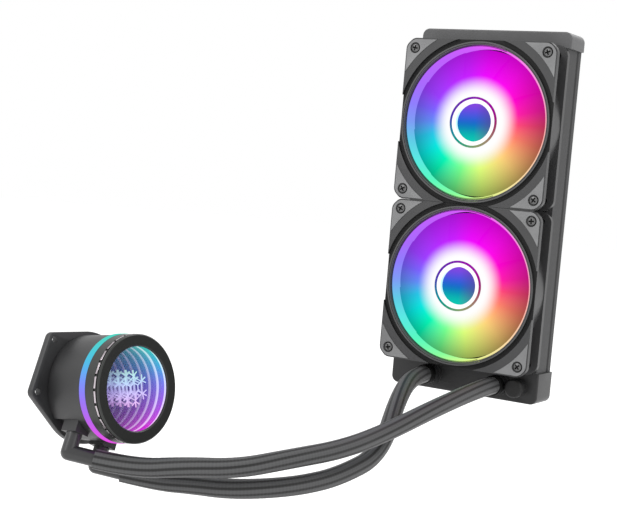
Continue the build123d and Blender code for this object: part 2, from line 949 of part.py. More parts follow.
with BuildPart() as impeller:
    with BuildSketch(pump.offset(impeller_low)):
        with PolarLocations(0, vane_count):
            add(vane.sketch)
    extrude(amount=vane_height)
    with BuildSketch(pump.offset(disc_low)):
        Circle(impeller_radius)
    extrude(amount=impeller_disc)
    with BuildSketch(pump.offset(impeller_low)):
        Circle(impeller_hub_radius)
    extrude(amount=magnet_top - impeller_low)
    with BuildSketch(pump.offset(impeller_low)):
        Circle(pin_radius + running_gap)
    extrude(amount=magnet_top - impeller_low, mode=Mode.SUBTRACT)
save(impeller, "impeller")
save(ring(pump, impeller_hub_radius + thread_gap, rotor_radius, magnet_base, magnet_top), "impeller_magnet")


# Sealed can over the magnet, with the fixed pin in its end, and the stator around it
can_ceiling = magnet_top + impeller_gap
can_top = can_ceiling + can_end
motor_can = turned(
    pump,
    [
        (can_radius - can_wall, chamber_top),
        (can_rim_radius, chamber_top),
        (can_rim_radius, chamber_top + can_wall),
        (can_radius, chamber_top + can_wall),
        (can_radius, can_top),
        (0, can_top),
        (0, can_top - can_wall),
        (pin_radius + thread_gap, can_top - can_wall),
        (pin_radius + thread_gap, can_ceiling),
        (can_radius - can_wall, can_ceiling),
    ],
)
save(motor_can, "motor_can")
save(ring(pump, 0, pin_radius, impeller_low, can_top - can_wall), "impeller_pin")

stator_inner = can_radius + stator_gap / 2
stator_base = chamber_top + can_wall + fit_gap
slot_length = (pump_stator_radius - stator_inner) * 0.6
with BuildPart() as pump_stator:
    with BuildSketch(pump.offset(stator_base)):
        Circle(pump_stator_radius)
        Circle(stator_inner, mode=Mode.SUBTRACT)
        with PolarLocations((pump_stator_radius + stator_inner) / 2, pump_stator_poles):
            SlotOverall(slot_length, pump_stator_slot, mode=Mode.SUBTRACT)
    extrude(amount=pump_stator_length)
save(pump_stator, "pump_stator")


# Outer shell, open below the bosses so that it slides over them
notch_height = boss_level + boss_half_height + notch_gap - shell_base
with BuildPart() as outer_shell:
    with BuildSketch(pump.offset(shell_base)):
        Circle(shell_radius)
        Circle(shell_radius - shell_wall, mode=Mode.SUBTRACT)
    extrude(amount=band_base - shell_base)
    with BuildSketch(pump.offset(shell_base)):
        with Locations(*[(side * boss_spacing / 2, -boss_reach) for side in (-1, 1)]):
            Rectangle(boss_width + 2 * notch_gap, block_radius)
    extrude(amount=notch_height, mode=Mode.SUBTRACT)
save(outer_shell, "outer_shell")

with BuildPart() as pump_board:
    with BuildSketch(pump.offset(board_level)):
        Circle(pump_board_radius)
    extrude(amount=board_thickness)
save(pump_board, "pump_board")


# Lit band with an inner ledge for the back mirror, and the bezel with its lip over the glass
band_top = band_base + band_height
mirror_radius = window_radius + glass_overlap
light_band = turned(
    pump,
    [
        (band_inner_radius, band_base),
        (band_radius, band_base),
        (band_radius, band_top),
        (band_inner_radius, band_top),
        (band_inner_radius, mirror_level),
        (mirror_radius - ledge_width, mirror_level),
        (mirror_radius - ledge_width, band_base),
    ],
)
save(light_band, "light_band")

bezel_inner = pump_radius - bezel_wall
bezel = turned(
    pump,
    [
        (bezel_inner, band_top),
        (pump_radius, band_top),
        (pump_radius, pump_length - bezel_chamfer),
        (pump_radius - bezel_chamfer, pump_length),
        (window_radius + bezel_chamfer, pump_length),
        (window_radius, pump_length - bezel_chamfer),
        (window_radius, pump_length - bezel_lip),
        (bezel_inner, pump_length - bezel_lip),
    ],
)
save(bezel, "bezel")


# Mirror stack: a back mirror, a lit tube on it and half-silvered glass under the lip of the bezel
mirror_top = mirror_level + mirror_thickness
glass_top = pump_length - bezel_lip - fit_gap
glass_base = glass_top - glass_thickness
save(ring(pump, 0, mirror_radius, mirror_level, mirror_top), "back_mirror")
save(ring(pump, mirror_radius - mirror_light_wall, mirror_radius, mirror_top, glass_base), "mirror_light")
save(ring(pump, 0, mirror_radius, glass_base, glass_top), "window_glass")

with BuildPart() as emblem:
    with BuildSketch(pump.offset(mirror_top)):
        with PolarLocations(emblem_radius / 2, 6):
            Rectangle(emblem_radius, emblem_bar)
        RegularPolygon(emblem_radius * 0.55, 6)
        RegularPolygon(emblem_radius * 0.55 - emblem_bar, 6, mode=Mode.SUBTRACT)
    extrude(amount=emblem_thickness)
save(emblem, "emblem")


# Hoses: each route starts along the barrel of its elbow and ends square to its port
def hose_route(side, lead, middle, port_x):
    start = [tuple(along_barrel(side, distance)) for distance in (elbow_reach, elbow_reach + lead)]
    end = [(port_x, hose_port_y - hose_port_run, port_level), (port_x, hose_port_y, port_level)]
    return start + middle + end


def bend_radii(points):
    # The largest arc that the two runs beside each corner leave room for.
    corners = [Vector(*point) for point in points]
    radii = []
    for before, corner, after in zip(corners, corners[1:], corners[2:]):
        shorter = min((corner - before).length, (after - corner).length)
        turn = (corner - before).get_angle(after - corner)
        radii.append(run_share * shorter / tan(radians(turn / 2)))
    return radii


def make_hose(name, points):
    radii = bend_radii(points)
    with BuildPart() as hose:
        with BuildLine() as path:
            FilletPolyline(*points, radius=radii)
        with BuildSketch(Plane(origin=path.line @ 0, z_dir=path.line % 0)):
            Circle(hose_radius)
        sweep()
    save(hose, name)
    length = sum(edge.length for edge in path.edges())
    share = hose.part.volume / (pi * hose_radius**2 * length)
    print(name, "length", round(length, 1), "volume share", round(share, 4))
    print(name, "bend radii", [round(radius, 1) for radius in radii])


route_right = hose_route(
    -1,
    26.0,
    [
        (-69.5, -278.0, -176.0),
        (-41.0, -263.5, -174.0),
        (-18.5, -238.5, -167.0),
        (-2.5, -201.5, -163.0),
        (5.0, -158.0, -156.5),
        (18.0, -105.5, -141.5),
    ],
    port_shift + port_spacing / 2,
)
route_left = hose_route(
    1,
    24.0,
    [
        (-75.5, -262.5, -190.5),
        (-52.0, -256.5, -190.0),
        (-32.5, -244.0, -188.0),
        (-16.0, -224.5, -185.5),
        (-5.5, -196.0, -182.0),
        (0.5, -151.5, -172.5),
        (-14.5, -103.0, -140.5),
    ],
    port_shift - port_spacing / 2,
)
make_hose("hose_right", route_right)
make_hose("hose_left", route_left)
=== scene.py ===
import json
import math
import bmesh
import bpy
from mathutils import Matrix, Vector


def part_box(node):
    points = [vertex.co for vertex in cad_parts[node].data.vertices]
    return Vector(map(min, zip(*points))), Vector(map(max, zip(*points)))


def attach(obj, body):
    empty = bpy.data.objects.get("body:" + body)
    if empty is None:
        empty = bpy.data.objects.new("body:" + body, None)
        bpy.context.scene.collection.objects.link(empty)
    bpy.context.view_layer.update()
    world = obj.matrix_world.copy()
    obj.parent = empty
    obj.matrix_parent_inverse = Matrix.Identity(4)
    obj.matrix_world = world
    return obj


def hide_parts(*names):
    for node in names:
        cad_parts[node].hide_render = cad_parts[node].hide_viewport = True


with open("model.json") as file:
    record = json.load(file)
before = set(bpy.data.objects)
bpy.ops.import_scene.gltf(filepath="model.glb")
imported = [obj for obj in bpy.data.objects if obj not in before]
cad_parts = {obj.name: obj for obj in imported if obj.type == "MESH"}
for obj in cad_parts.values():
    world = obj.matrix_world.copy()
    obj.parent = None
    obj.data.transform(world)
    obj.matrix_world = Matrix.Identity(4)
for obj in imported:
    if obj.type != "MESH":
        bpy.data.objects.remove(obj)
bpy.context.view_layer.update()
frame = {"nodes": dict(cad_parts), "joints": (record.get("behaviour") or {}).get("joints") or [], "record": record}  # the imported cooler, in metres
mm = 0.001
print("frame loaded:", len(frame["nodes"]), "nodes")


# Places that the pieces share, read from the frame
fanNames = ("fan_top", "fan_bottom")


def middleOf(node):
    low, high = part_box(node)
    return (low + high) / 2


def bodyOf(node):
    return next(name for name, nodes in frame["record"]["behaviour"]["bodies"].items() if node in nodes)


spin = {joint["name"]: joint for joint in frame["joints"]}
pumpAxis = Vector(spin["impeller_spin"]["axis"]).normalized()
pumpFoot = Vector(spin["impeller_spin"]["pos_m"])
pumpRoll = math.radians(-25.5)  # about its own axis


def pumpFrame():
    # x to the right of the window, y up from the hoses, z out through the window
    level = Vector((-pumpAxis.y, pumpAxis.x, 0)).normalized()
    upright = pumpAxis.cross(level)
    across = level * math.cos(pumpRoll) + upright * math.sin(pumpRoll)
    up = pumpAxis.cross(across)
    return Matrix((
        (across.x, up.x, pumpAxis.x, pumpFoot.x),
        (across.y, up.y, pumpAxis.y, pumpFoot.y),
        (across.z, up.z, pumpAxis.z, pumpFoot.z),
        (0, 0, 0, 1),
    ))


pumpPlace = pumpFrame()


# Camera, at the photograph's place
view = {
    "place": (429.828, -984.954, 17.186),
    "right": (0.85184, 0.51667, 0.08613),
    "up": (-0.10971, 0.0152, 0.99385),
    "back": (0.51218, -0.85605, 0.06963),
    "focalPixels": 1395.84,
    "photoWidth": 617,
    "sensor": 36.0,
}


def linked(name, data):
    made = bpy.data.objects.new(name, data)
    bpy.context.scene.collection.objects.link(made)
    return made


def meshOf(name, shape):
    # Mesh data out of a bmesh, which is freed
    data = bpy.data.meshes.new(name)
    shape.to_mesh(data)
    shape.free()
    return data


def evaluated(holder):
    bpy.context.view_layer.update()
    return holder.evaluated_get(bpy.context.evaluated_depsgraph_get())


def addCamera():
    data = bpy.data.cameras.new("camera")
    data.sensor_width = view["sensor"]
    data.lens = view["focalPixels"] / view["photoWidth"] * view["sensor"]
    data.clip_end = 30
    camera = linked("camera", data)
    columns = [Vector(view[side]) for side in ("right", "up", "back")]
    turned = Matrix([[column[row] for column in columns] for row in range(3)])
    camera.matrix_world = Matrix.Translation(Vector(view["place"]) * mm) @ turned.to_4x4()
    bpy.context.scene.camera = camera


addCamera()


# Shader maths: a wire takes part in sums, and each sum adds its node
class Wire:
    def __init__(self, finish, socket):
        self.finish = finish
        self.socket = socket

    def __add__(self, other):
        return self.finish.math("ADD", self, other)

    def __sub__(self, other):
        return self.finish.math("SUBTRACT", self, other)

    def __rsub__(self, other):
        return self.finish.math("SUBTRACT", other, self)

    def __mul__(self, other):
        return self.finish.math("MULTIPLY", self, other)

    def __truediv__(self, other):
        return self.finish.math("DIVIDE", self, other)

    def __gt__(self, other):
        return self.finish.math("GREATER_THAN", self, other)

    def __lt__(self, other):
        return self.finish.math("LESS_THAN", self, other)

    def __pow__(self, other):
        return self.finish.math("POWER", self, other)


class Finish:
    # One material: plain values go straight on the shader's sockets, and wires are linked to them
    def __init__(self, name, **values):
        self.material = bpy.data.materials.new(name)
        self.material.use_nodes = True
        self.tree = self.material.node_tree
        self.shader = self.tree.nodes["Principled BSDF"]
        self.out = self.tree.nodes["Material Output"]
        self.set(**values)

    def set(self, **values):
        for name, value in values.items():
            self.feed(self.shader.inputs[name.replace("_", " ")], value)

    def feed(self, socket, value):
        if isinstance(value, Wire):
            self.tree.links.new(value.socket, socket)
        elif socket.type == "RGBA" and len(value) == 3:
            socket.default_value = (*value, 1)
        else:
            socket.default_value = value

    def node(self, kind, settings=None, inputs=None, output=0):
        made = self.tree.nodes.new(kind)
        for name, value in (settings or {}).items():
            setattr(made, name, value)
        for name, value in (inputs or {}).items():
            self.feed(made.inputs[name], value)
        return Wire(self, made.outputs[output])

    def math(self, operation, first, second=0.0):
        return self.node("ShaderNodeMath", {"operation": operation}, {0: first, 1: second})

    def ramp(self, share, stops, curve="B_SPLINE"):
        hue = self.node("ShaderNodeValToRGB", inputs={0: share})
        ramp = hue.socket.node.color_ramp
        ramp.interpolation = curve
        while len(ramp.elements) < len(stops):
            ramp.elements.new(0.5)
        for element, (place, colour) in zip(ramp.elements, stops):
            element.position = place
            element.color = (*colour, 1)
        return hue

    def place(self, output="Object"):
        return self.node("ShaderNodeTexCoord", output=output)

    def parts(self, vector):
        split = self.node("ShaderNodeSeparateXYZ", inputs={0: vector}).socket.node
        return [Wire(self, split.outputs[axis]) for axis in range(3)]

    def noise(self, scale, vector=None, detail=3.0):
        values = {"Vector": vector or self.place(), "Scale": scale, "Detail": detail, "Roughness": 0.55}
        return self.node("ShaderNodeTexNoise", inputs=values)

    def mix(self, share, first, second):
        values = {0: share, 6: first, 7: second}
        return self.node("ShaderNodeMix", {"data_type": "RGBA", "clamp_factor": True}, values, output=2)

    def bump(self, height, strength, distance):
        values = {"Height": height, "Strength": strength, "Distance": distance}
        return self.node("ShaderNodeBump", inputs=values)

    def range(self, value, low, high, start=0.0, end=1.0, curve="LINEAR"):
        values = {"Value": value, "From Min": low, "From Max": high, "To Min": start, "To Max": end}
        return self.node("ShaderNodeMapRange", {"clamp": True, "interpolation_type": curve}, values)


paintedShadeHeights = (-0.14, 0.12)  # heights of the painted shade: full at the bottom tank, none at the top one, in metres


def plainFinish(name, colour, rough, spread=0.08, grain=900.0, bump=0.15, metal=0.0, coat=0.0, paintedShadeKeep=1.0,
                shine=0.5):
    # Paint or moulding: slow cloudiness, fine grain, uneven gloss, and, when asked for, a painted shade
    # that darkens it low down
    finish = Finish(name, Metallic=metal, Coat_Weight=coat, Specular_IOR_Level=shine)
    cloud = finish.noise(35.0, detail=4.0)
    fine = finish.noise(grain, detail=2.0)
    # painted shade: the share of black, most at the bottom tank and none at the top
    low = finish.range(finish.parts(finish.place())[2], *paintedShadeHeights, 1.0 - paintedShadeKeep, 0.0)
    darker = [channel * 0.8 for channel in colour]
    lighter = [min(1.0, channel * 1.2) for channel in colour]
    tone = finish.mix(finish.range(cloud, 0.3, 0.7), darker, lighter)
    finish.set(
        Base_Color=finish.mix(low, tone, (0.0, 0.0, 0.0)) if paintedShadeKeep < 1.0 else tone,
        Roughness=finish.range(cloud * 0.6 + fine * 0.4, 0.3, 0.7, rough - spread, rough + spread),
        Normal=finish.bump(fine, bump, 0.0002),
    )
    return finish.material


screwTone = {
    "crownFrom": -51.35,  # y of the crown's foot
    "steel": ((0.10, 0.10, 0.10), (0.16, 0.16, 0.16)),
    "shade": (0.006, 0.006, 0.006),
}


def screwHeadFinish():
    # Grey on the crown, and a painted shade, near black, in the recess and round the foot
    finish = Finish("screwHead", Metallic=0.6)
    fine = finish.noise(1200.0)
    # the painted shade covers all that lies below the crown's foot
    deep = finish.parts(finish.place())[1] > screwTone["crownFrom"] * mm
    crown = finish.mix(fine, *screwTone["steel"])
    finish.set(
        Base_Color=finish.mix(deep, crown, screwTone["shade"]),
        Roughness=finish.range(deep + fine * 0.3, 0.0, 1.3, 0.34, 0.75),
        Normal=finish.bump(fine, 0.2, 0.0001),
    )
    return finish.material


finishes = {
    # the tanks and headers carry a painted shade that darkens them towards the bottom
    "tankPaintWithLowShade": plainFinish("tankPaintWithLowShade", (0.080, 0.080, 0.082), 0.42, grain=700.0, bump=0.25, paintedShadeKeep=0.10),
    # a darker, duller copy of the tank paint for the side frames: a painted shade
    "sidePaintShaded": plainFinish("sidePaintShaded", (0.040, 0.040, 0.041), 0.55, grain=700.0, bump=0.3, shine=0.3),
    "corePaint": plainFinish("corePaint", (0.022, 0.022, 0.025), 0.42),
    "padRubber": plainFinish("padRubber", (0.185, 0.186, 0.188), 0.62, grain=1400.0, bump=0.3),
    "screwSteel": plainFinish("screwSteel", (0.045, 0.045, 0.045), 0.48, metal=1.0),
    "screwHead": screwHeadFinish(),
    "pumpPlastic": plainFinish("pumpPlastic", (0.024, 0.024, 0.025), 0.42, grain=1500.0),
    "gripSatin": plainFinish("gripSatin", (0.50, 0.45, 0.48), 0.28, metal=1.0),
    "ringPaint": plainFinish("ringPaint", (0.022, 0.022, 0.023), 0.42),
    "fittingPaint": plainFinish("fittingPaint", (0.020, 0.020, 0.021), 0.34, coat=0.2),
    "plugPlastic": plainFinish("plugPlastic", (0.007, 0.007, 0.007), 0.5, shine=0.35),
    "sealRubber": plainFinish("sealRubber", (0.02, 0.02, 0.02), 0.7),
    "copper": plainFinish("copper", (0.72, 0.36, 0.22), 0.28, metal=1.0),
    "board": plainFinish("board", (0.03, 0.09, 0.06), 0.4),
    "metal": plainFinish("metal", (0.35, 0.34, 0.33), 0.4, metal=1.0),
}
print("plain finishes made")


# Lit fan discs: the hue runs round the axis, with a white glow about the hub
glow = {
    "hues": [  # counter-clockwise from the right, as seen from the front
        (0.000, (1.00, 0.06, 0.20)),
        (0.035, (1.00, 0.01, 0.40)),
        (0.080, (1.00, 0.00, 0.60)),
        (0.140, (1.00, 0.00, 0.86)),
        (0.225, (0.86, 0.00, 1.00)),
        (0.280, (0.60, 0.01, 1.00)),
        (0.340, (0.48, 0.02, 1.00)),
        (0.420, (0.33, 0.05, 1.00)),
        (0.465, (0.20, 0.12, 1.00)),
        (0.505, (0.12, 0.26, 0.92)),
        (0.545, (0.02, 0.55, 0.80)),
        (0.590, (0.00, 0.80, 0.76)),
        (0.650, (0.00, 0.95, 0.48)),
        (0.715, (0.18, 1.00, 0.28)),
        (0.785, (0.72, 1.00, 0.20)),
        (0.875, (1.00, 0.66, 0.20)),
        (0.955, (1.00, 0.22, 0.15)),
        (1.000, (1.00, 0.06, 0.20)),
    ],
    "white": (20.5, 35.0),  # radii where the white glow ends
    "dim": (34.0, 54.5),  # radii where the blades darken
    "dimming": (0.62, 0.40),  # by how much, low down and high up
    "lean": {"fan_top": (0.460, -0.046), "fan_bottom": (0.460, 0.083)},  # shift with depth
    "leanDepth": -49.0,
    "rimPale": (15.0, 50.0, 0.10, 0.38),  # places across the fan, and the share of white there
    "rimWhite": (1.0, 1.0, 0.85),
    "rimEdge": {"radius": 55.3, "depth": -48.0, "upTo": 20.0, "share": 0.72},
    "capFront": -51.4,
    "capShade": (0.66, (0.0, 0.0, 0.12)),
    "wallCyan": (0.25, 0.86, 1.0),
    "wallAcross": (-15.0, -9.0, 0.75, 0.0),
    "wallDepth": (-51.8, -50.5, 0.0, 1.0),
    "cupReflection": [  # painted reflection of the fan's light on the hub's mirror dish, from the bottom of the dish to its top
        (0.00, (0.00, 0.62, 0.46)),
        (0.22, (0.00, 0.40, 0.42)),
        (0.42, (0.00, 0.16, 0.52)),
        (0.60, (0.02, 0.11, 0.70)),
        (0.80, (0.12, 0.07, 0.76)),
        (1.00, (0.26, 0.06, 0.74)),
    ],
    "cupShade": (0.7, (0.10, 0.06, 0.24)),
    "cupSize": 13.7,
}


def litFinish(name, colour, strength):
    # A lit diffuser: dark by itself, so that its own light keeps its colour
    finish = Finish(name, Specular_IOR_Level=0.0)
    fine = finish.noise(700.0, detail=2.0)
    finish.set(
        Base_Color=finish.mix(fine, (0.002, 0.002, 0.002), (0.004, 0.004, 0.004)),
        Roughness=finish.range(fine, 0.3, 0.7, 0.38, 0.52),
        Normal=finish.bump(fine, 0.06, 0.0002),
        Emission_Color=colour(finish),
        Emission_Strength=strength,
    )
    return finish.material


def hueRound(finish, across, up):
    turn = finish.math("ARCTAN2", up, across) / math.tau
    return finish.ramp(finish.math("FRACT", turn + 1.0), glow["hues"], "LINEAR")


def aboutAxis(finish, centre):
    # Across, up and outwards from a fan's axis, and the depth
    x, y, z = finish.parts(finish.place())
    across, up = x - centre.x, z - centre.z
    return across, up, (across * across + up * up) ** 0.5, y


def bladeColour(centre, lean):
    # White near the hub, full colour half way out and dimmer towards the tips
    def colour(finish):
        x, y, z = finish.parts(finish.place())
        depth = y - glow["leanDepth"] * mm
        across = x - centre.x + depth * lean[0]
        up = z - centre.z + depth * lean[1]
        radius = (across * across + up * up) ** 0.5
        inner, outer = glow["dim"]
        share = finish.range(up, -inner * mm, inner * mm, *glow["dimming"])
        dimming = finish.range(radius, inner * mm, outer * mm) * share
        hue = finish.mix(dimming, hueRound(finish, across, up), (0.0, 0.0, 0.0))
        inner, outer = glow["white"]
        white = finish.range(radius, inner * mm, outer * mm, 1.0, 0.0, "SMOOTHSTEP")
        return finish.mix(white, hue, (1.0, 1.0, 1.0))

    return colour


def ringColour(centre, share, other):
    # The hue of the place, mixed with one other colour
    def colour(finish):
        x, y, z = finish.parts(finish.place())
        return finish.mix(share, hueRound(finish, x - centre.x, z - centre.z), other)

    return colour


def rimColour(centre):
    # Paler on the right, and dim round the front edge on the left
    def colour(finish):
        across, up, radius, y = aboutAxis(finish, centre)
        start, end, least, most = glow["rimPale"]
        pale = finish.range(across, start * mm, end * mm, least, most)
        hue = finish.mix(pale, hueRound(finish, across, up), glow["rimWhite"])
        rim = glow["rimEdge"]
        edge = (radius > rim["radius"] * mm) * (y < rim["depth"] * mm) * (across < rim["upTo"] * mm)
        return finish.mix(edge * rim["share"], hue, (0.0, 0.0, 0.0))

    return colour


def capColour(centre):
    # A dim coloured ring on the hub's front; its side is as white as the blades beside it
    def colour(finish):
        front = finish.parts(finish.place())[1] < glow["capFront"] * mm
        return finish.mix(front, (1.0, 1.0, 1.0), ringColour(centre, *glow["capShade"])(finish))

    return colour


# The groove round the light of each fan, and the tones of the frame there: a painted shade in the groove
# and a painted highlight on the rim
rimGroove = {"inner": 58.7, "outer": 62.4, "front": 51.5, "depth": 1.9}
frameTone = {
    "behind": -49.0,  # y behind which the frame is plain
    "plain": ((0.034, 0.034, 0.035), (0.046, 0.046, 0.047)),
    # painted highlight on the raised rim
    "rim": (0.062, 0.062, 0.063),
    # painted shade in the groove
    "groove": (0.002, 0.002, 0.002),
    "spare": 0.05,
}


def frameFinish(name, centre):
    # Moulded frame: a painted shade, black, in the groove round the rim, and a painted highlight, lighter,
    # on the rim itself
    finish = Finish(name)
    radius, y = aboutAxis(finish, centre)[2:]
    cloud = finish.noise(35.0, detail=4.0)
    fine = finish.noise(1600.0, detail=2.0)
    spare = frameTone["spare"]
    inner, outer, front = rimGroove["inner"] - spare, rimGroove["outer"] + spare, rimGroove["front"] - spare
    face = y < frameTone["behind"] * mm
    # where the painted shade of the groove and the painted highlight of the rim fall
    groove = (radius > inner * mm) * (radius < outer * mm) * (y > -front * mm) * face
    rim = (radius < (rimGroove["inner"] + 2 * spare) * mm) * face
    tone = finish.mix(rim, finish.mix(cloud, *frameTone["plain"]), frameTone["rim"])
    finish.set(
        Base_Color=finish.mix(groove, tone, frameTone["groove"]),
        Roughness=finish.range(groove + fine * 0.2, 0.0, 1.0, 0.38, 0.8),
        Normal=finish.bump(fine, 0.15, 0.0002),
    )
    return finish.material


def hubColour(centre):
    # White, turning to cyan on the left wall of the recess
    def colour(finish):
        x, y, z = finish.parts(finish.place())
        start, end, most, least = glow["wallAcross"]
        left = finish.range(x - centre.x, start * mm, end * mm, most, least)
        start, end, least, most = glow["wallDepth"]
        deep = finish.range(y, start * mm, end * mm, least, most)
        return finish.mix(left * deep, (1.0, 1.0, 1.0), glow["wallCyan"])

    return colour


def dishReflectionColour(centre):
    # Painted reflection on the hub's mirror dish: teal low down, blue in the middle and violet on top, with
    # a painted shade darker towards the right
    def colour(finish):
        x, y, z = finish.parts(finish.place())
        size = glow["cupSize"] * mm
        height = finish.range(z - centre.z, -size, size)
        hue = finish.ramp(height, glow["cupReflection"])
        share, shade = glow["cupShade"]
        shaded = finish.range(x - centre.x, 0.0, size, 0.0, share)
        return finish.mix(shaded, hue, shade)

    return colour


for fan in fanNames:
    fanCentre = middleOf(fan + "_light_ring")
    finishes[fan + "_blade"] = litFinish(fan + "Blade", bladeColour(fanCentre, glow["lean"][fan]), 1.0)
    finishes[fan + "_rim"] = litFinish(fan + "Rim", rimColour(fanCentre), 1.0)
    finishes[fan + "_ring"] = litFinish(fan + "Ring", capColour(fanCentre), 1.0)
    finishes[fan + "_frame"] = frameFinish(fan + "Frame", fanCentre)
    finishes[fan + "_hub"] = litFinish(fan + "Hub", hubColour(fanCentre), 1.1)
    # the hub's mirror dish glows with a painted reflection
    finishes[fan + "_dishReflection"] = litFinish(fan + "Dish", dishReflectionColour(fanCentre), 1.0)


# Light of the pump head: the hue runs down its height
pumpLight = {
    "hues": [  # from the bottom to the top
        (0.00, (0.90, 0.02, 0.80)),
        (0.20, (0.52, 0.06, 0.84)),
        (0.42, (0.26, 0.14, 0.95)),
        (0.58, (0.16, 0.24, 0.98)),
        (0.72, (0.02, 0.46, 0.86)),
        (0.88, (0.02, 0.62, 0.64)),
        (1.00, (0.03, 0.68, 0.50)),
    ],
    "middle": 45.0,
    "band": (35.0, 0.06),  # half the height that the hues span, and the share of white
    "motif": (13.0, 0.45),
    "tube": (28.0, 0.50),
    "tubeHaze": (28.0, 0.0),
    "haze": (0.34, (0.03, 0.0, 0.10)),
    "litDepth": (50.4, 51.0),
    "glassInside": 52.4,
    "glassVeil": 0.035,
    "glassSheen": 0.03,
    "bezelFront": 54.85,
}


def pumpColour(half, pale):
    def colour(finish):
        height = finish.parts(finish.place())[2]
        middle = (pumpPlace @ Vector((0, 0, pumpLight["middle"] * mm))).z
        share = finish.range(height - middle, -half * mm, half * mm)
        return finish.mix(pale, finish.ramp(share, pumpLight["hues"]), (1.0, 1.0, 1.0))

    return colour


def outOfPump(finish):
    # How far a point lies along the pump's axis, in metres
    values = {0: finish.place(), 1: tuple(pumpAxis)}
    lean = finish.node("ShaderNodeVectorMath", {"operation": "DOT_PRODUCT"}, values, output=1)
    return lean - pumpAxis.dot(pumpFoot)


def tunnelColour(finish):
    # The lit tube shines in a narrow ring under the glass and is dim below it
    low, high = pumpLight["litDepth"]
    bright = finish.range(outOfPump(finish), low * mm, high * mm)
    strong = pumpColour(*pumpLight["tube"])(finish)
    share, shade = pumpLight["haze"]
    dim = finish.mix(share, pumpColour(*pumpLight["tubeHaze"])(finish), shade)
    return finish.mix(bright, dim, strong)


finishes["band"] = litFinish("bandLight", pumpColour(*pumpLight["band"]), 1.0)
finishes["tunnel"] = litFinish("tunnelLight", tunnelColour, 1.3)
finishes["motif"] = litFinish("motifLight", pumpColour(*pumpLight["motif"]), 1.1)


def backMirrorFinish():
    # Polished metal that keeps most of the light at each pass
    finish = Finish("backMirror", Metallic=1.0)
    fine = finish.noise(300.0)
    finish.set(
        Base_Color=finish.mix(fine, (0.82, 0.80, 0.86), (0.86, 0.84, 0.90)),
        Roughness=finish.range(fine, 0.3, 0.7, 0.0, 0.015),
        Normal=finish.bump(fine, 0.01, 0.0001),
    )
    return finish.material


def glassFinish():
    # Half-silvered glass: clear from outside, and a mirror for what is behind it
    finish = Finish("windowGlass", Metallic=1.0, Roughness=0.0)
    fine = finish.noise(300.0)
    finish.set(Base_Color=finish.mix(fine, (0.80, 0.78, 0.84), (0.84, 0.82, 0.88)))
    nodes, links = finish.tree.nodes, finish.tree.links
    clear = nodes.new("ShaderNodeBsdfTransparent")
    sheen = nodes.new("ShaderNodeBsdfGlossy")
    sheen.inputs["Roughness"].default_value = pumpLight["glassSheen"]
    veil = nodes.new("ShaderNodeMixShader")
    veil.inputs[0].default_value = pumpLight["glassVeil"]
    links.new(clear.outputs[0], veil.inputs[1])
    links.new(sheen.outputs[0], veil.inputs[2])
    geometry = nodes.new("ShaderNodeNewGeometry")
    outside = 1.0 - Wire(finish, geometry.outputs["Backfacing"])
    inner = outOfPump(finish) < pumpLight["glassInside"] * mm
    choose = nodes.new("ShaderNodeMixShader")
    finish.feed(choose.inputs[0], inner * outside)
    links.new(veil.outputs[0], choose.inputs[1])
    links.new(finish.shader.outputs[0], choose.inputs[2])
    links.new(choose.outputs[0], finish.out.inputs["Surface"])
    return finish.material


def bezelFinish():
    # Satin sides and a flat black front ring
    finish = Finish("bezelSatin", Specular_IOR_Level=0.35)
    fine = finish.noise(1500.0, detail=2.0)
    front = outOfPump(finish) > pumpLight["bezelFront"] * mm
    side = finish.mix(fine, (0.024, 0.026, 0.024), (0.034, 0.036, 0.034))
    finish.set(
        Base_Color=finish.mix(front, side, (0.0035, 0.0045, 0.0035)),
        Roughness=finish.range(front, 0.0, 1.0, 0.36, 0.70),
        Normal=finish.bump(fine, 0.15, 0.0002),
    )
    return finish.material


finishes["bezelSatin"] = bezelFinish()
finishes["mirror"] = backMirrorFinish()
finishes["glass"] = glassFinish()
print("lit finishes made")


def paint(node, finish):
    piece = frame["nodes"][node]
    piece.data.materials.clear()
    piece.data.materials.append(finishes[finish])


# Which finish each carried-over node wears
wearing = {
    "top_header": "tankPaintWithLowShade", "bottom_header": "tankPaintWithLowShade", "side_frame_left": "sidePaintShaded",
    "side_frame_right": "sidePaintShaded", "flat_tubes": "corePaint", "plug_seal": "sealRubber",
    "rear_pads": "padRubber", "cold_plate": "copper", "cold_plate_screws": "screwSteel",
    "cold_plate_gasket": "sealRubber", "pump_block": "pumpPlastic", "impeller": "metal",
    "impeller_magnet": "metal", "impeller_pin": "metal", "motor_can": "metal", "pump_stator": "metal",
    "pump_board": "board", "elbow_seals": "sealRubber", "window_glass": "glass",
}
for fan in fanNames:
    wearing.update({
        fan + "_magnet": "metal", fan + "_shaft": "metal", fan + "_bearing": "metal",
        fan + "_board": "board", fan + "_stator": "metal",
    })
for nodeName, finishName in wearing.items():
    paint(nodeName, finishName)
print("nodes painted")


def addPiece(name, shape, body, finish, sharp=32):
    # Turns a bmesh into a piece that rides on a body
    data = meshOf(name, shape)
    for face in data.polygons:
        face.use_smooth = True
    data.set_sharp_from_angle(angle=math.radians(sharp))
    data.materials.append(finishes[finish])
    piece = linked(name, data)
    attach(piece, body)
    return piece


def spun(profile, steps=32, closed=False):
    # A turned body about Z from (radius, height) points
    shape = bmesh.new()
    ring = [shape.verts.new((radius * mm, 0, height * mm)) for radius, height in profile]
    pairs = list(zip(ring, ring[1:])) + ([(ring[-1], ring[0])] if closed else [])
    edges = [shape.edges.new(pair) for pair in pairs]
    bmesh.ops.spin(shape, geom=ring + edges, cent=(0, 0, 0), axis=(0, 0, 1), angle=math.tau, steps=steps,
                   use_merge=True)
    bmesh.ops.remove_doubles(shape, verts=shape.verts, dist=0.01 * mm)
    bmesh.ops.recalc_face_normals(shape, faces=shape.faces)
    return shape


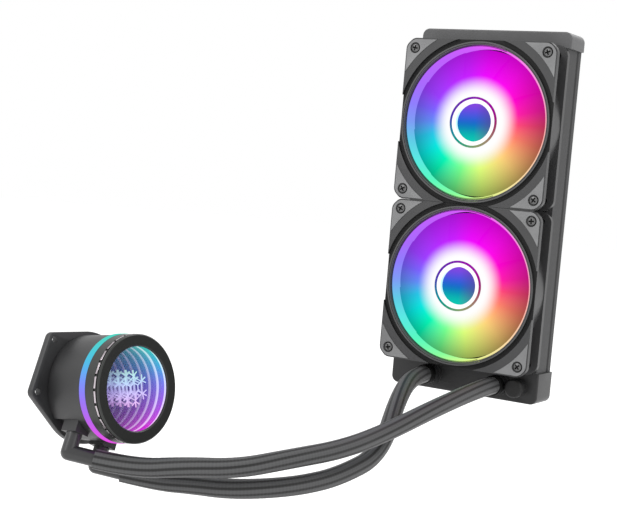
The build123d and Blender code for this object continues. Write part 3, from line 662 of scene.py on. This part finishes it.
def turnedAbout(shape, place):
    bmesh.ops.transform(shape, matrix=place, verts=shape.verts)
    return shape


def softened(shape, edges, width, segments=2):
    bmesh.ops.bevel(shape, geom=edges, offset=width * mm, segments=segments, profile=0.5, affect="EDGES",
                    material=-1)


def fanPlace(centre):
    # Z forwards out of the fan, from the radiator's front plane
    return Matrix.Translation((centre.x, 0, centre.z)) @ Matrix.Rotation(math.radians(90), 4, "X")


def boxed(length, width, depth, top):
    # A block about the Z axis, with its upper face at a height
    shape = bmesh.new()
    bmesh.ops.create_cube(shape, size=1.0)
    bmesh.ops.scale(shape, verts=shape.verts, vec=(length * mm, width * mm, depth * mm))
    bmesh.ops.translate(shape, verts=shape.verts, vec=(0, 0, (top - depth / 2) * mm))
    return shape


def carved(shape, cutters):
    # A new bmesh: the shape without the cutters
    body = linked("carvedBody", meshOf("carvedBody", shape))
    tools = [linked("carvingTool", meshOf("carvingTool", cutter)) for cutter in cutters]
    for tool in tools:
        cut = body.modifiers.new("cut", "BOOLEAN")
        cut.operation = "DIFFERENCE"
        cut.solver = "EXACT"
        cut.object = tool
    result = bmesh.new()
    result.from_mesh(evaluated(body).to_mesh())
    for holder in [body] + tools:
        data = holder.data
        bpy.data.objects.remove(holder)
        bpy.data.meshes.remove(data)
    return result


def joined(shapes):
    # One bmesh out of several
    whole = bmesh.new()
    for shape in shapes:
        data = meshOf("loose", shape)
        whole.from_mesh(data)
        bpy.data.meshes.remove(data)
    return whole


# Moulded and pressed pieces: the node's own shape with cut grooves and softened edges
dressed = {
    "top_tank": ("tank_paint", "tankPaintWithLowShade", 0.45),
    "bottom_tank": ("tank_paint", "tankPaintWithLowShade", 0.45),
    "fan_top_frame": ("fan_plastic", "fan_top_frame", 0.30),
    "fan_bottom_frame": ("fan_plastic", "fan_bottom_frame", 0.30),
    "front_pads": ("pad_rubber", "padRubber", 0.35),
    "refill_plug": ("fitting_paint", "plugPlastic", 0.35),
    "port_left": ("fitting_paint", "fittingPaint", 0.30),
    "port_right": ("fitting_paint", "fittingPaint", 0.30),
    "outer_shell": ("pump_plastic", "pumpPlastic", 0.25),
    "bezel": ("bezel_plastic", "bezelSatin", 0.12),
    "elbow_left": ("fitting_paint", "fittingPaint", 0.30),
    "elbow_right": ("fitting_paint", "fittingPaint", 0.30),
}
bezelGroove = {"radius": 35.0, "depth": 0.6, "levels": (52.5, 53.3)}
grips = {  # grip bars in a second groove round the bezel
    "count": 24,
    "radius": 35.0,
    "depth": 0.7,
    "levels": (50.2, 52.4),
    "bar": (7.4, 1.5, 0.8),
    "stand": -0.05,
    "edge": 0.12,
}
corner = {"from": 51.0, "turn": (40, 50), "radius": 2.4, "segments": 4}


def grooveCutter(inner, outer, low, high, place, steps=128):
    profile = [(inner, low), (outer, low), (outer, high), (inner, high)]
    return turnedAbout(spun(profile, steps, closed=True), place)


def cutsOf(node):
    # Grooves that a node's own mesh lacks
    cutters = []
    if node.endswith("_frame"):
        place = fanPlace(middleOf(node.replace("_frame", "_light_ring")))
        inner, outer, front = rimGroove["inner"], rimGroove["outer"], rimGroove["front"]
        cutters.append(grooveCutter(inner, outer, front - rimGroove["depth"], front + 1, place))
    if node == "bezel":
        for ring in (bezelGroove, grips):
            inner = ring["radius"] - ring["depth"]
            cutters.append(grooveCutter(inner, ring["radius"] + 1, *ring["levels"], pumpPlace))
    return cutters


def roundCorners(shape):
    # Rounds the two edges of each chamfered corner, which run from front to back
    chosen = []
    for edge in shape.edges:
        along = (edge.verts[1].co - edge.verts[0].co).normalized()
        middle = (edge.verts[0].co + edge.verts[1].co) / 2
        if abs(along.y) > 0.99 and len(edge.link_faces) == 2 and abs(middle.x) > corner["from"] * mm:
            turn = edge.calc_face_angle_signed(0.0)
            if math.radians(corner["turn"][0]) < turn < math.radians(corner["turn"][1]):
                chosen.append(edge)
    softened(shape, chosen, corner["radius"], corner["segments"])
    print("corner edges rounded:", len(chosen))


def dress(node, finish, width):
    # Merges the node's mesh, cuts its grooves and softens its edges
    shape = bmesh.new()
    shape.from_mesh(frame["nodes"][node].data)
    bmesh.ops.remove_doubles(shape, verts=shape.verts, dist=0.01 * mm)
    cutters = cutsOf(node)
    if cutters:
        shape = carved(shape, cutters)
        bmesh.ops.remove_doubles(shape, verts=shape.verts, dist=0.01 * mm)
    bmesh.ops.dissolve_limit(
        shape, angle_limit=math.radians(1.0), verts=shape.verts, edges=shape.edges, delimit={"NORMAL"},
    )
    if node.endswith("_frame") or node == "front_pads":
        roundCorners(shape)
    piece = addPiece(node + "Dressed", shape, bodyOf(node), finish)
    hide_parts(node)
    edge = piece.modifiers.new("edge", "BEVEL")
    edge.width = width * mm
    edge.segments = 2
    edge.limit_method = "ANGLE"
    edge.angle_limit = math.radians(32)
    edge.harden_normals = True


for node, (slot, finish, width) in dressed.items():
    dress(node, finish, width)
print("pieces dressed")


# Mounting plate under the pump head
plate = {
    "levels": (3.45, 8.15),
    "ring": 36.9,
    "lug": 4.7,
    "lugsAt": 42.7,
    "lugsApart": 0.77,
    "bore": 27.65,
    "hole": 2.25,
    "edge": 0.6,
    "steps": 96,
    "holeSteps": 32,
}


def lugPlaces():
    # Centres of the four lugs: the directions in which the ring reaches furthest out
    back = pumpPlace.inverted()
    spots = [(back @ vertex.co).xy for vertex in frame["nodes"]["mounting_ring"].data.vertices]
    found = []
    for spot in sorted(spots, key=lambda spot: -spot.length):
        apart = all(spot.dot(other) < plate["lugsApart"] * spot.length * other.length for other in found)
        if apart and len(found) < 4:
            found.append(spot)
    return [spot.normalized() * plate["lugsAt"] for spot in found]


def drill(radius, low, high, steps):
    # Cutter for a round hole
    return spun([(0, low), (radius, low), (radius, high), (0, high)], steps)


def plateShape():
    # A ring with four lugs, whose flanks run straight from lug to ring
    low, high = plate["levels"]
    lugs = lugPlaces()
    shape = bmesh.new()
    for (x, y), radius in [((0, 0), plate["ring"])] + [(lug, plate["lug"]) for lug in lugs]:
        for level in (low, high):
            place = Matrix.Translation((x * mm, y * mm, level * mm))
            bmesh.ops.create_circle(shape, radius=radius * mm, segments=plate["steps"], matrix=place)
    hull = bmesh.ops.convex_hull(shape, input=shape.verts, use_existing_faces=False)
    bmesh.ops.delete(shape, geom=hull["geom_interior"] + hull["geom_unused"], context="VERTS")
    loose = [vertex for vertex in shape.verts if not vertex.link_faces]
    bmesh.ops.delete(shape, geom=loose, context="VERTS")
    bmesh.ops.dissolve_limit(shape, angle_limit=math.radians(1.0), verts=shape.verts, edges=shape.edges)
    rims = [edge for edge in shape.edges if edge.calc_face_angle(0.0) > math.radians(60)]
    softened(shape, rims, plate["edge"])
    cutters = [drill(plate["bore"], low - 1, high + 1, plate["steps"])]
    for lug in lugs:
        hole = drill(plate["hole"], low - 1, high + 1, plate["holeSteps"])
        cutters.append(turnedAbout(hole, Matrix.Translation((lug.x * mm, lug.y * mm, 0))))
    shape = carved(shape, cutters)
    bmesh.ops.recalc_face_normals(shape, faces=shape.faces)
    return turnedAbout(shape, pumpPlace)


mountingPlate = addPiece("mountingPlate", plateShape(), bodyOf("mounting_ring"), "ringPaint")
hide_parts("mounting_ring")
print("mounting plate drawn")


def addGrips():
    # Each bar lies along the bezel's rim, with its top outwards
    upright = Matrix.Rotation(math.radians(90), 4, "Y")
    along = Matrix.Rotation(math.radians(90), 4, "Z")
    level = Matrix.Translation((0, 0, sum(grips["levels"]) / 2 * mm))
    bars = []
    for number in range(grips["count"]):
        turn = Matrix.Rotation(math.tau * number / grips["count"], 4, "Z")
        block = boxed(*grips["bar"], grips["radius"] + grips["stand"])
        bars.append(turnedAbout(block, pumpPlace @ level @ turn @ upright @ along))
    shape = joined(bars)
    softened(shape, list(shape.edges), grips["edge"])
    addPiece("gripBars", shape, bodyOf("bezel"), "gripSatin")


addGrips()
print("grips set")


# Window of the pump head: a lit tube, a mirror near the glass and the motif just under the glass
window = {
    "band": [(27.9, 36.8), (33.0, 36.8), (33.0, 37.9), (35.3, 37.9), (35.3, 42.7), (31.1, 42.7),
             (31.1, 38.8), (27.9, 38.8)],
    "shellEdge": [(33.1, 36.75), (34.5, 36.75), (34.5, 37.8), (33.1, 37.8)],
    "tube": [(28.2, 40.5), (29.5, 40.5), (29.5, 51.7), (28.2, 51.7)],
    "mirror": [(0, 39.1), (28.1, 39.1), (28.1, 48.2), (0, 48.2)],
    "motifLevel": (51.1, 51.5),
    "arm": (12.0, 0.75),
    "twig": (3.6, 0.65),
    "twigAt": 8.2,
    "twigTurn": 55,
    "overlap": 0.3,
    "core": (3.4, 4.1),
    "frame": (7.3, 7.9),
    "steps": 128,
}


def bar(length, width, low, high, start, turn, spot=(0, 0)):
    # A flat bar that leaves a spot in the direction of the turn
    shape = boxed(length, width, high - low, high)
    bmesh.ops.translate(shape, verts=shape.verts, vec=((start + length / 2) * mm, 0, 0))
    place = Matrix.Translation((spot[0] * mm, spot[1] * mm, 0)) @ Matrix.Rotation(turn, 4, "Z")
    return turnedAbout(shape, place)


def motifShape():
    # A plain ice crystal: six arms with a pair of twigs on each, round an open hexagon
    low, high = window["motifLevel"]
    length, width = window["arm"]
    start = window["core"][1] - window["overlap"]
    parts = []
    for near, far in (window["core"], window["frame"]):
        parts.append(spun([(near, low), (far, low), (far, high), (near, high)], 6, closed=True))
    for number in range(6):
        turn = math.tau * number / 6
        parts.append(bar(length - start, width, low, high, start, turn))
        spot = (window["twigAt"] * math.cos(turn), window["twigAt"] * math.sin(turn))
        for side in (-1, 1):
            lean = side * math.radians(window["twigTurn"])
            parts.append(bar(*window["twig"], low, high, window["overlap"], turn + lean, spot))
    return turnedAbout(joined(parts), pumpPlace)


def addWindow():
    body = bodyOf("light_band")
    turned = (  # name, profile, closed or not, slot, finish and the node that it replaces
        ("bandGlow", "band", True, "light_plastic", "band", "light_band"),
        ("shellEdge", "shellEdge", True, "pump_plastic", "pumpPlastic", None),
        ("windowTube", "tube", True, "light_plastic", "tunnel", "mirror_light"),
        ("windowMirror", "mirror", False, "mirror_film", "mirror", "back_mirror"),
    )
    for name, profile, closed, slot, finish, node in turned:
        shape = turnedAbout(spun(window[profile], window["steps"], closed), pumpPlace)
        piece = addPiece(name, shape, body, finish)
        if node:
            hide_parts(node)
    motif = addPiece("iceMotif", motifShape(), body, "motif")
    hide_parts("emblem")


addWindow()
print("window lit")


# Fan rotors: nine wide blades that overlap, on a hub with a lit ring and a dish
rotor = {
    "blades": 9,
    "span": (18.2, 53.7),
    "chord": 58.0,
    "sweep": -12.0,
    "lead": (-48.0, -40.0),
    "fall": (7.0, 2.6),
    "camber": 0.7,
    "thickness": 1.1,
    "rows": 18,
    "columns": 20,
    "hub": [(0, 43.6), (17.3, 43.6), (17.3, 33.9), (18.6, 33.9), (18.6, 51.9), (18.4, 52.2), (17.0, 52.2),
            (17.0, 45.0), (0, 45.0)],
    "litRing": [(14.1, 45.1), (16.9, 45.1), (16.9, 51.7), (16.6, 52.0), (14.4, 52.0), (14.1, 51.7)],
    "dish": [(0, 45.1), (13.9, 45.1), (13.9, 48.5), (0, 48.0)],
    "rimGlow": [(54.7, 33.8), (57.3, 33.8), (57.3, 47.8), (55.9, 47.8), (55.8, 48.8), (55.4, 49.2),
                (54.7, 48.6)],
    "rimCollar": [(56.0, 48.0), (57.3, 48.0), (57.3, 51.2), (57.0, 51.5), (56.6, 51.4)],
}


def bladeShape():
    # One blade, bent from a grid: rows run out to the tip and columns from the leading edge back
    shape = bmesh.new()
    bmesh.ops.create_grid(shape, x_segments=rotor["columns"], y_segments=rotor["rows"], size=0.5)
    inner, outer = rotor["span"]
    for vertex in shape.verts:
        back, out = vertex.co.x + 0.5, vertex.co.y + 0.5
        radius = inner + (outer - inner) * out
        turn = math.radians(rotor["sweep"] * out + rotor["chord"] * back)
        lead = rotor["lead"][0] + (rotor["lead"][1] - rotor["lead"][0]) * out
        fall = rotor["fall"][0] + (rotor["fall"][1] - rotor["fall"][0]) * out
        height = -(lead + fall * back - rotor["camber"] * math.sin(math.pi * back))
        vertex.co = (radius * math.cos(turn) * mm, radius * math.sin(turn) * mm, height * mm)
    bmesh.ops.recalc_face_normals(shape, faces=shape.faces)
    if shape.faces[:][0].normal.z < 0:
        bmesh.ops.reverse_faces(shape, faces=shape.faces)
    bmesh.ops.solidify(shape, geom=shape.faces[:], thickness=rotor["thickness"] * mm)
    bmesh.ops.recalc_face_normals(shape, faces=shape.faces)
    return shape


def addRotor(fan):
    place = fanPlace(middleOf(fan + "_light_ring"))
    turning, still = bodyOf(fan + "_rotor"), bodyOf(fan + "_light_ring")
    blades = [
        turnedAbout(bladeShape(), place @ Matrix.Rotation(math.tau * number / rotor["blades"], 4, "Z"))
        for number in range(rotor["blades"])
    ]
    piece = addPiece(fan + "Blades", joined(blades), turning, fan + "_blade", 60)
    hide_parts(fan + "_rotor")
    turned = (  # name, profile, closed or not, steps, body, slot, finish and the node that it replaces
        ("Hub", "hub", False, 96, turning, "blade_plastic", "_ring", None),
        ("HubRing", "litRing", True, 96, turning, "light_plastic", "_hub", "_hub_light"),
        # the dish stands in for the hub's mirror, with its reflection painted on as glow
        ("HubDish", "dish", False, 96, turning, "mirror_film", "_dishReflection", "_hub_mirror"),
        ("RimGlow", "rimGlow", True, 128, still, "light_plastic", "_rim", "_light_ring"),
        ("RimCollar", "rimCollar", True, 128, still, "fan_plastic", "_frame", None),
    )
    for name, profile, closed, steps, body, slot, finish, node in turned:
        shape = turnedAbout(spun(rotor[profile], steps, closed), place)
        piece = addPiece(fan + name, shape, body, fan + finish)
        if node:
            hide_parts(fan + node)


for fan in fanNames:
    addRotor(fan)
print("rotors lit")


# Fan screws: a domed head with a cross recess over each shank
screw = {
    "pitch": 105.0,
    "profile": [(0.0, 1.75), (1.2, 1.68), (2.4, 1.35), (3.1, 0.85), (3.4, 0.2), (3.4, 0.0), (0.0, 0.0)],
    "shank": (1.7, 27.5),
    "recess": (4.2, 1.15, 1.2),
    "seat": -50.5,
    "turns": (0.4, 1.3, 2.1, 0.9),  # how far each recess is turned: at rest, by fan, across and up
}


def screwShape():
    length, width, depth = screw["recess"]
    over = 0.2  # the cutters stand out of the head
    top = screw["profile"][0][1] + over
    cutters = [boxed(length, width, depth + over, top), boxed(width, length, depth + over, top)]
    radius, reach = screw["shank"]
    shank = spun([(0.0, 0.0), (radius, 0.0), (radius, -reach), (0.0, -reach)], steps=16)
    return joined([carved(spun(screw["profile"]), cutters), shank])


def addScrews():
    outward = Matrix.Rotation(math.radians(90), 4, "X")
    first, byFan, byAcross, byUp = screw["turns"]
    single = screwShape()
    shapes = []
    for number, fan in enumerate(fanNames):
        centre = middleOf(fan + "_light_ring")
        for across in (-0.5, 0.5):
            for up in (-0.5, 0.5):
                x, z = across * screw["pitch"] * mm, centre.z + up * screw["pitch"] * mm
                turn = Matrix.Rotation(first + byFan * number + byAcross * across + byUp * up, 4, "Z")
                place = Matrix.Translation((x, screw["seat"] * mm, z)) @ outward @ turn
                shapes.append(turnedAbout(single.copy(), place))
    single.free()
    piece = addPiece("fanScrewHeads", joined(shapes), bodyOf("fan_screws"), "screwHead")
    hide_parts("fan_screws")


addScrews()
print("screws set")


# Folded fins between the flat tubes
fins = {
    "columns": 11,
    "pitch": 8.0,
    "fold": 1.9,
    "reach": 2.7,
    "sheet": 0.14,
    "depth": (-2.5, -24.5),
}


def addFins():
    # One folded strip in each column, drawn as its front edge and pulled back
    low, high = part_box("fin_strips")
    folds = int((high.z - low.z) / (fins["fold"] * mm))
    shape = bmesh.new()
    for column in range(fins["columns"]):
        middle = (column - (fins["columns"] - 1) / 2) * fins["pitch"] * mm
        sides = []
        for offset in (0.5, -0.5):
            line = []
            for fold in range(folds + 1):
                reach = fins["reach"] * mm * (1 if fold % 2 else -1)
                height = low.z + (high.z - low.z) * fold / folds + offset * fins["sheet"] * mm
                line.append(shape.verts.new((middle + reach, fins["depth"][0] * mm, height)))
            sides.append(line)
        strip = []
        for first in range(folds):
            corners = (sides[0][first], sides[0][first + 1], sides[1][first + 1], sides[1][first])
            strip.append(shape.faces.new(corners))
        moved = bmesh.ops.extrude_face_region(shape, geom=strip)["geom"]
        back = [part for part in moved if isinstance(part, bmesh.types.BMVert)]
        bmesh.ops.translate(shape, verts=back, vec=(0, (fins["depth"][1] - fins["depth"][0]) * mm, 0))
    bmesh.ops.recalc_face_normals(shape, faces=shape.faces)
    piece = addPiece("foldedFins", shape, bodyOf("fin_strips"), "corePaint")
    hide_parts("fin_strips")


addFins()
print("fins folded")


# Hoses: a braided sleeve woven over each route, whose points are those of the CAD
hoses = {
    "diameter": 0.0128,
    "right": [
        (-0.1226, -0.3029, -0.1772),
        (-0.0998, -0.2910, -0.1810),
        (-0.0695, -0.2780, -0.1760),
        (-0.0410, -0.2635, -0.1740),
        (-0.0185, -0.2385, -0.1670),
        (-0.0025, -0.2015, -0.1630),
        (0.0050, -0.1580, -0.1565),
        (0.0180, -0.1055, -0.1415),
        (0.0295, -0.0590, -0.1305),
        (0.0295, -0.0350, -0.1305),
    ],
    "left": [
        (-0.1183, -0.2798, -0.1883),
        (-0.0973, -0.2688, -0.1918),
        (-0.0755, -0.2625, -0.1905),
        (-0.0520, -0.2565, -0.1900),
        (-0.0325, -0.2440, -0.1880),
        (-0.0160, -0.2245, -0.1855),
        (-0.0055, -0.1960, -0.1820),
        (0.0005, -0.1515, -0.1725),
        (-0.0145, -0.1030, -0.1405),
        (-0.0265, -0.0590, -0.1305),
        (-0.0265, -0.0350, -0.1305),
    ],
    "lengths": {"right": 0.3388, "left": 0.3246},
    "around": 80,
    "step": 0.5,
    "strands": 20,
    "lay": 4.2,
    "weave": 0.22,
    "roundness": 0.7,
}


def centreLine(points):
    # Points read from the route's spline, with no bevel
    data = bpy.data.curves.new("route", "CURVE")
    data.dimensions = "3D"
    spline = data.splines.new("NURBS")
    spline.points.add(len(points) - 1)
    for control, point in zip(spline.points, points):
        control.co = (*point, 1)
    spline.order_u = 3
    spline.use_endpoint_u = True
    data.resolution_u = 24
    holder = linked("route", data)
    line = bpy.data.meshes.new_from_object(evaluated(holder))
    path = [vertex.co.copy() for vertex in line.vertices]
    bpy.data.objects.remove(holder)
    bpy.data.meshes.remove(line)
    return path


def evenly(path, step):
    # The same line with its points an even step apart
    along = [0.0]
    for before, after in zip(path, path[1:]):
        along.append(along[-1] + (after - before).length)
    count = round(along[-1] / step)
    points, place = [], 0
    for number in range(count + 1):
        want = along[-1] * number / count
        while place < len(along) - 2 and along[place + 1] < want:
            place += 1
        share = (want - along[place]) / (along[place + 1] - along[place])
        points.append(path[place].lerp(path[place + 1], share))
    return points


def woven(turn, distance):
    # Height of the braid: strands of two leans pass over and under each other
    first = turn * hoses["strands"] / math.tau + distance / (hoses["lay"] * mm)
    second = turn * hoses["strands"] / math.tau - distance / (hoses["lay"] * mm)
    over = (math.floor(first) + math.floor(second)) % 2
    share = (first if over else second) % 1.0
    return math.sin(math.pi * share) ** hoses["roundness"] * hoses["weave"] * mm


def sleeveShape(path):
    # A grid wrapped round the route: its rows follow the hose and its columns go round it
    points = evenly(path, hoses["step"] * mm)
    rows, around = len(points), hoses["around"]
    shape = bmesh.new()
    shape.loops.layers.uv.new("sleeve")
    bmesh.ops.create_grid(shape, x_segments=around, y_segments=rows - 1, size=0.5, calc_uvs=True)
    shape.verts.ensure_lookup_table()
    radius = hoses["diameter"] / 2 - hoses["weave"] * mm
    side = (points[1] - points[0]).orthogonal().normalized()
    for row, point in enumerate(points):
        ahead = (points[min(row + 1, rows - 1)] - points[max(row - 1, 0)]).normalized()
        side = (side - ahead * side.dot(ahead)).normalized()
        across = ahead.cross(side)
        for column in range(around + 1):
            turn = math.tau * column / around
            height = radius + woven(turn % math.tau, row * hoses["step"] * mm)
            vertex = shape.verts[row * (around + 1) + column]
            vertex.co = point + (side * math.cos(turn) + across * math.sin(turn)) * height
    bmesh.ops.remove_doubles(shape, verts=shape.verts, dist=0.002 * mm)
    ends = [edge for edge in shape.edges if edge.is_boundary]
    bmesh.ops.holes_fill(shape, edges=ends, sides=0)
    bmesh.ops.recalc_face_normals(shape, faces=shape.faces)
    return shape


yarn = {
    "highlightStreaks": (15.0, 5.0, 1.6),  # painted highlight streaks: scales round the hose, slant and along
    # painted highlight and shade bands that wind slowly round the hose
    "highlightBands": (9.0, 2.5),
    "strands": (math.tau * 20, 480.0),
    "dark": (0.003, 0.003, 0.003),
    "light": (0.088, 0.089, 0.091),
}


def sleeveFinish():
    # Fine dark yarn whose strands cross at a slant, with painted highlights and painted shade as lengthwise
    # streaks and winding bands
    finish = Finish("sleeveYarnAndHighlights", Sheen_Weight=0.10, Sheen_Roughness=0.4)
    u, v = finish.parts(finish.place("UV"))[:2]
    around, slanted, along = yarn["highlightStreaks"]
    streak = finish.node("ShaderNodeCombineXYZ", inputs={0: u * around + v * slanted, 1: v * along, 2: 0.0})
    highlightStreaks = finish.noise(1.0, vector=streak, detail=0.0)
    highlightBands = finish.math("SINE", (u * yarn["highlightBands"][0] + v * yarn["highlightBands"][1]) * math.tau)
    across, lengthwise = u * yarn["strands"][0], v * yarn["strands"][1]
    weave = finish.math("SINE", across + lengthwise) * finish.math("SINE", across - lengthwise)
    fine = finish.noise(2600.0, detail=2.0)
    # the bands and streaks are painted highlights and shade; the weave and fine grain are the yarn's own
    tone = finish.range(highlightBands, -0.9, 0.2) * 0.75 + highlightStreaks * 0.5 + weave * 0.10 + fine * 0.10 - 0.30
    finish.set(
        Base_Color=finish.mix(tone, yarn["dark"], yarn["light"]),
        Roughness=finish.range(fine, 0.3, 0.7, 0.50, 0.66),
        Normal=finish.bump(fine, 0.4, 0.0002),
    )
    return finish.material


finishes["sleeve"] = sleeveFinish()
for side in ("left", "right"):
    route = centreLine(hoses[side])
    body = bodyOf("hose_" + side)
    hose = addPiece("hoseSleeve_" + side, sleeveShape(route), body, "sleeve", 75)
    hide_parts("hose_" + side)
print("hoses woven")


# Near-black ferrules where the sleeves meet the bottom tank; their black is partly a painted shade for the
# shaded gap there
ferrule = [(5.9, 33.1), (7.3, 33.1), (7.3, 39.4), (6.9, 39.8), (5.9, 39.8)]
finishes["ferrule"] = plainFinish("ferruleRubberAndShade", (0.004, 0.004, 0.004), 0.75, shine=0.15)
for side in ("left", "right"):
    shape = turnedAbout(spun(ferrule, 64, closed=True), fanPlace(Vector(hoses[side][-1])))
    addPiece("ferrule_" + side, shape, bodyOf("port_" + side), "ferrule")
print("ferrules set")


# Studio: a pale floor, a bright room and soft lamps
studio = {
    "floorDrop": 0.26,
    "floorSize": 6.0,
    "world": 1.0,
    "bounces": {"max_bounces": 28, "glossy_bounces": 24, "transparent_max_bounces": 24},
    "lamps": [  # name, place, aim, size, watts
        ("keyLamp", (-0.9, -1.4, 1.3), (0, 0, 0), 1.0, 14.0),
        ("sideLamp", (1.5, -0.6, 0.7), (0, 0, 0), 0.9, 3.0),
        ("rimLamp", (0.3, 1.2, 1.4), (0, 0, 0), 1.0, 12.0),
    ],
}


def floorFinish():
    finish = Finish("floorPaint", Emission_Color=(1.0, 1.0, 1.0), Emission_Strength=0.12)
    cloud = finish.noise(3.0)
    finish.set(
        Base_Color=finish.mix(cloud, (0.88, 0.88, 0.88), (0.92, 0.92, 0.92)),
        Roughness=finish.range(cloud, 0.3, 0.7, 0.85, 0.95),
        Normal=finish.bump(cloud, 0.02, 0.001),
    )
    return finish.material


def addStudio():
    shape = bmesh.new()
    bmesh.ops.create_circle(shape, cap_ends=True, radius=studio["floorSize"], segments=64)
    bmesh.ops.translate(shape, verts=shape.verts, vec=(0, 0, -studio["floorDrop"]))
    floor = linked("floor", meshOf("floor", shape))
    floor.data.materials.append(floorFinish())
    world = bpy.data.worlds.new("room")
    world.use_nodes = True
    background = world.node_tree.nodes["Background"]
    background.inputs["Color"].default_value = (1, 1, 1, 1)
    background.inputs["Strength"].default_value = studio["world"]
    bpy.context.scene.world = world
    for name, place, aim, size, watts in studio["lamps"]:
        lamp = bpy.data.lights.new(name, "AREA")
        lamp.size = size
        lamp.energy = watts
        holder = linked(name, lamp)
        away = Vector(place) - Vector(aim)
        holder.matrix_world = Matrix.Translation(place) @ away.to_track_quat("Z", "Y").to_matrix().to_4x4()


addStudio()
bpy.context.scene.view_settings.view_transform = "Standard"
for bounceName, count in studio["bounces"].items():
    setattr(bpy.context.scene.cycles, bounceName, count)
print("studio lit")
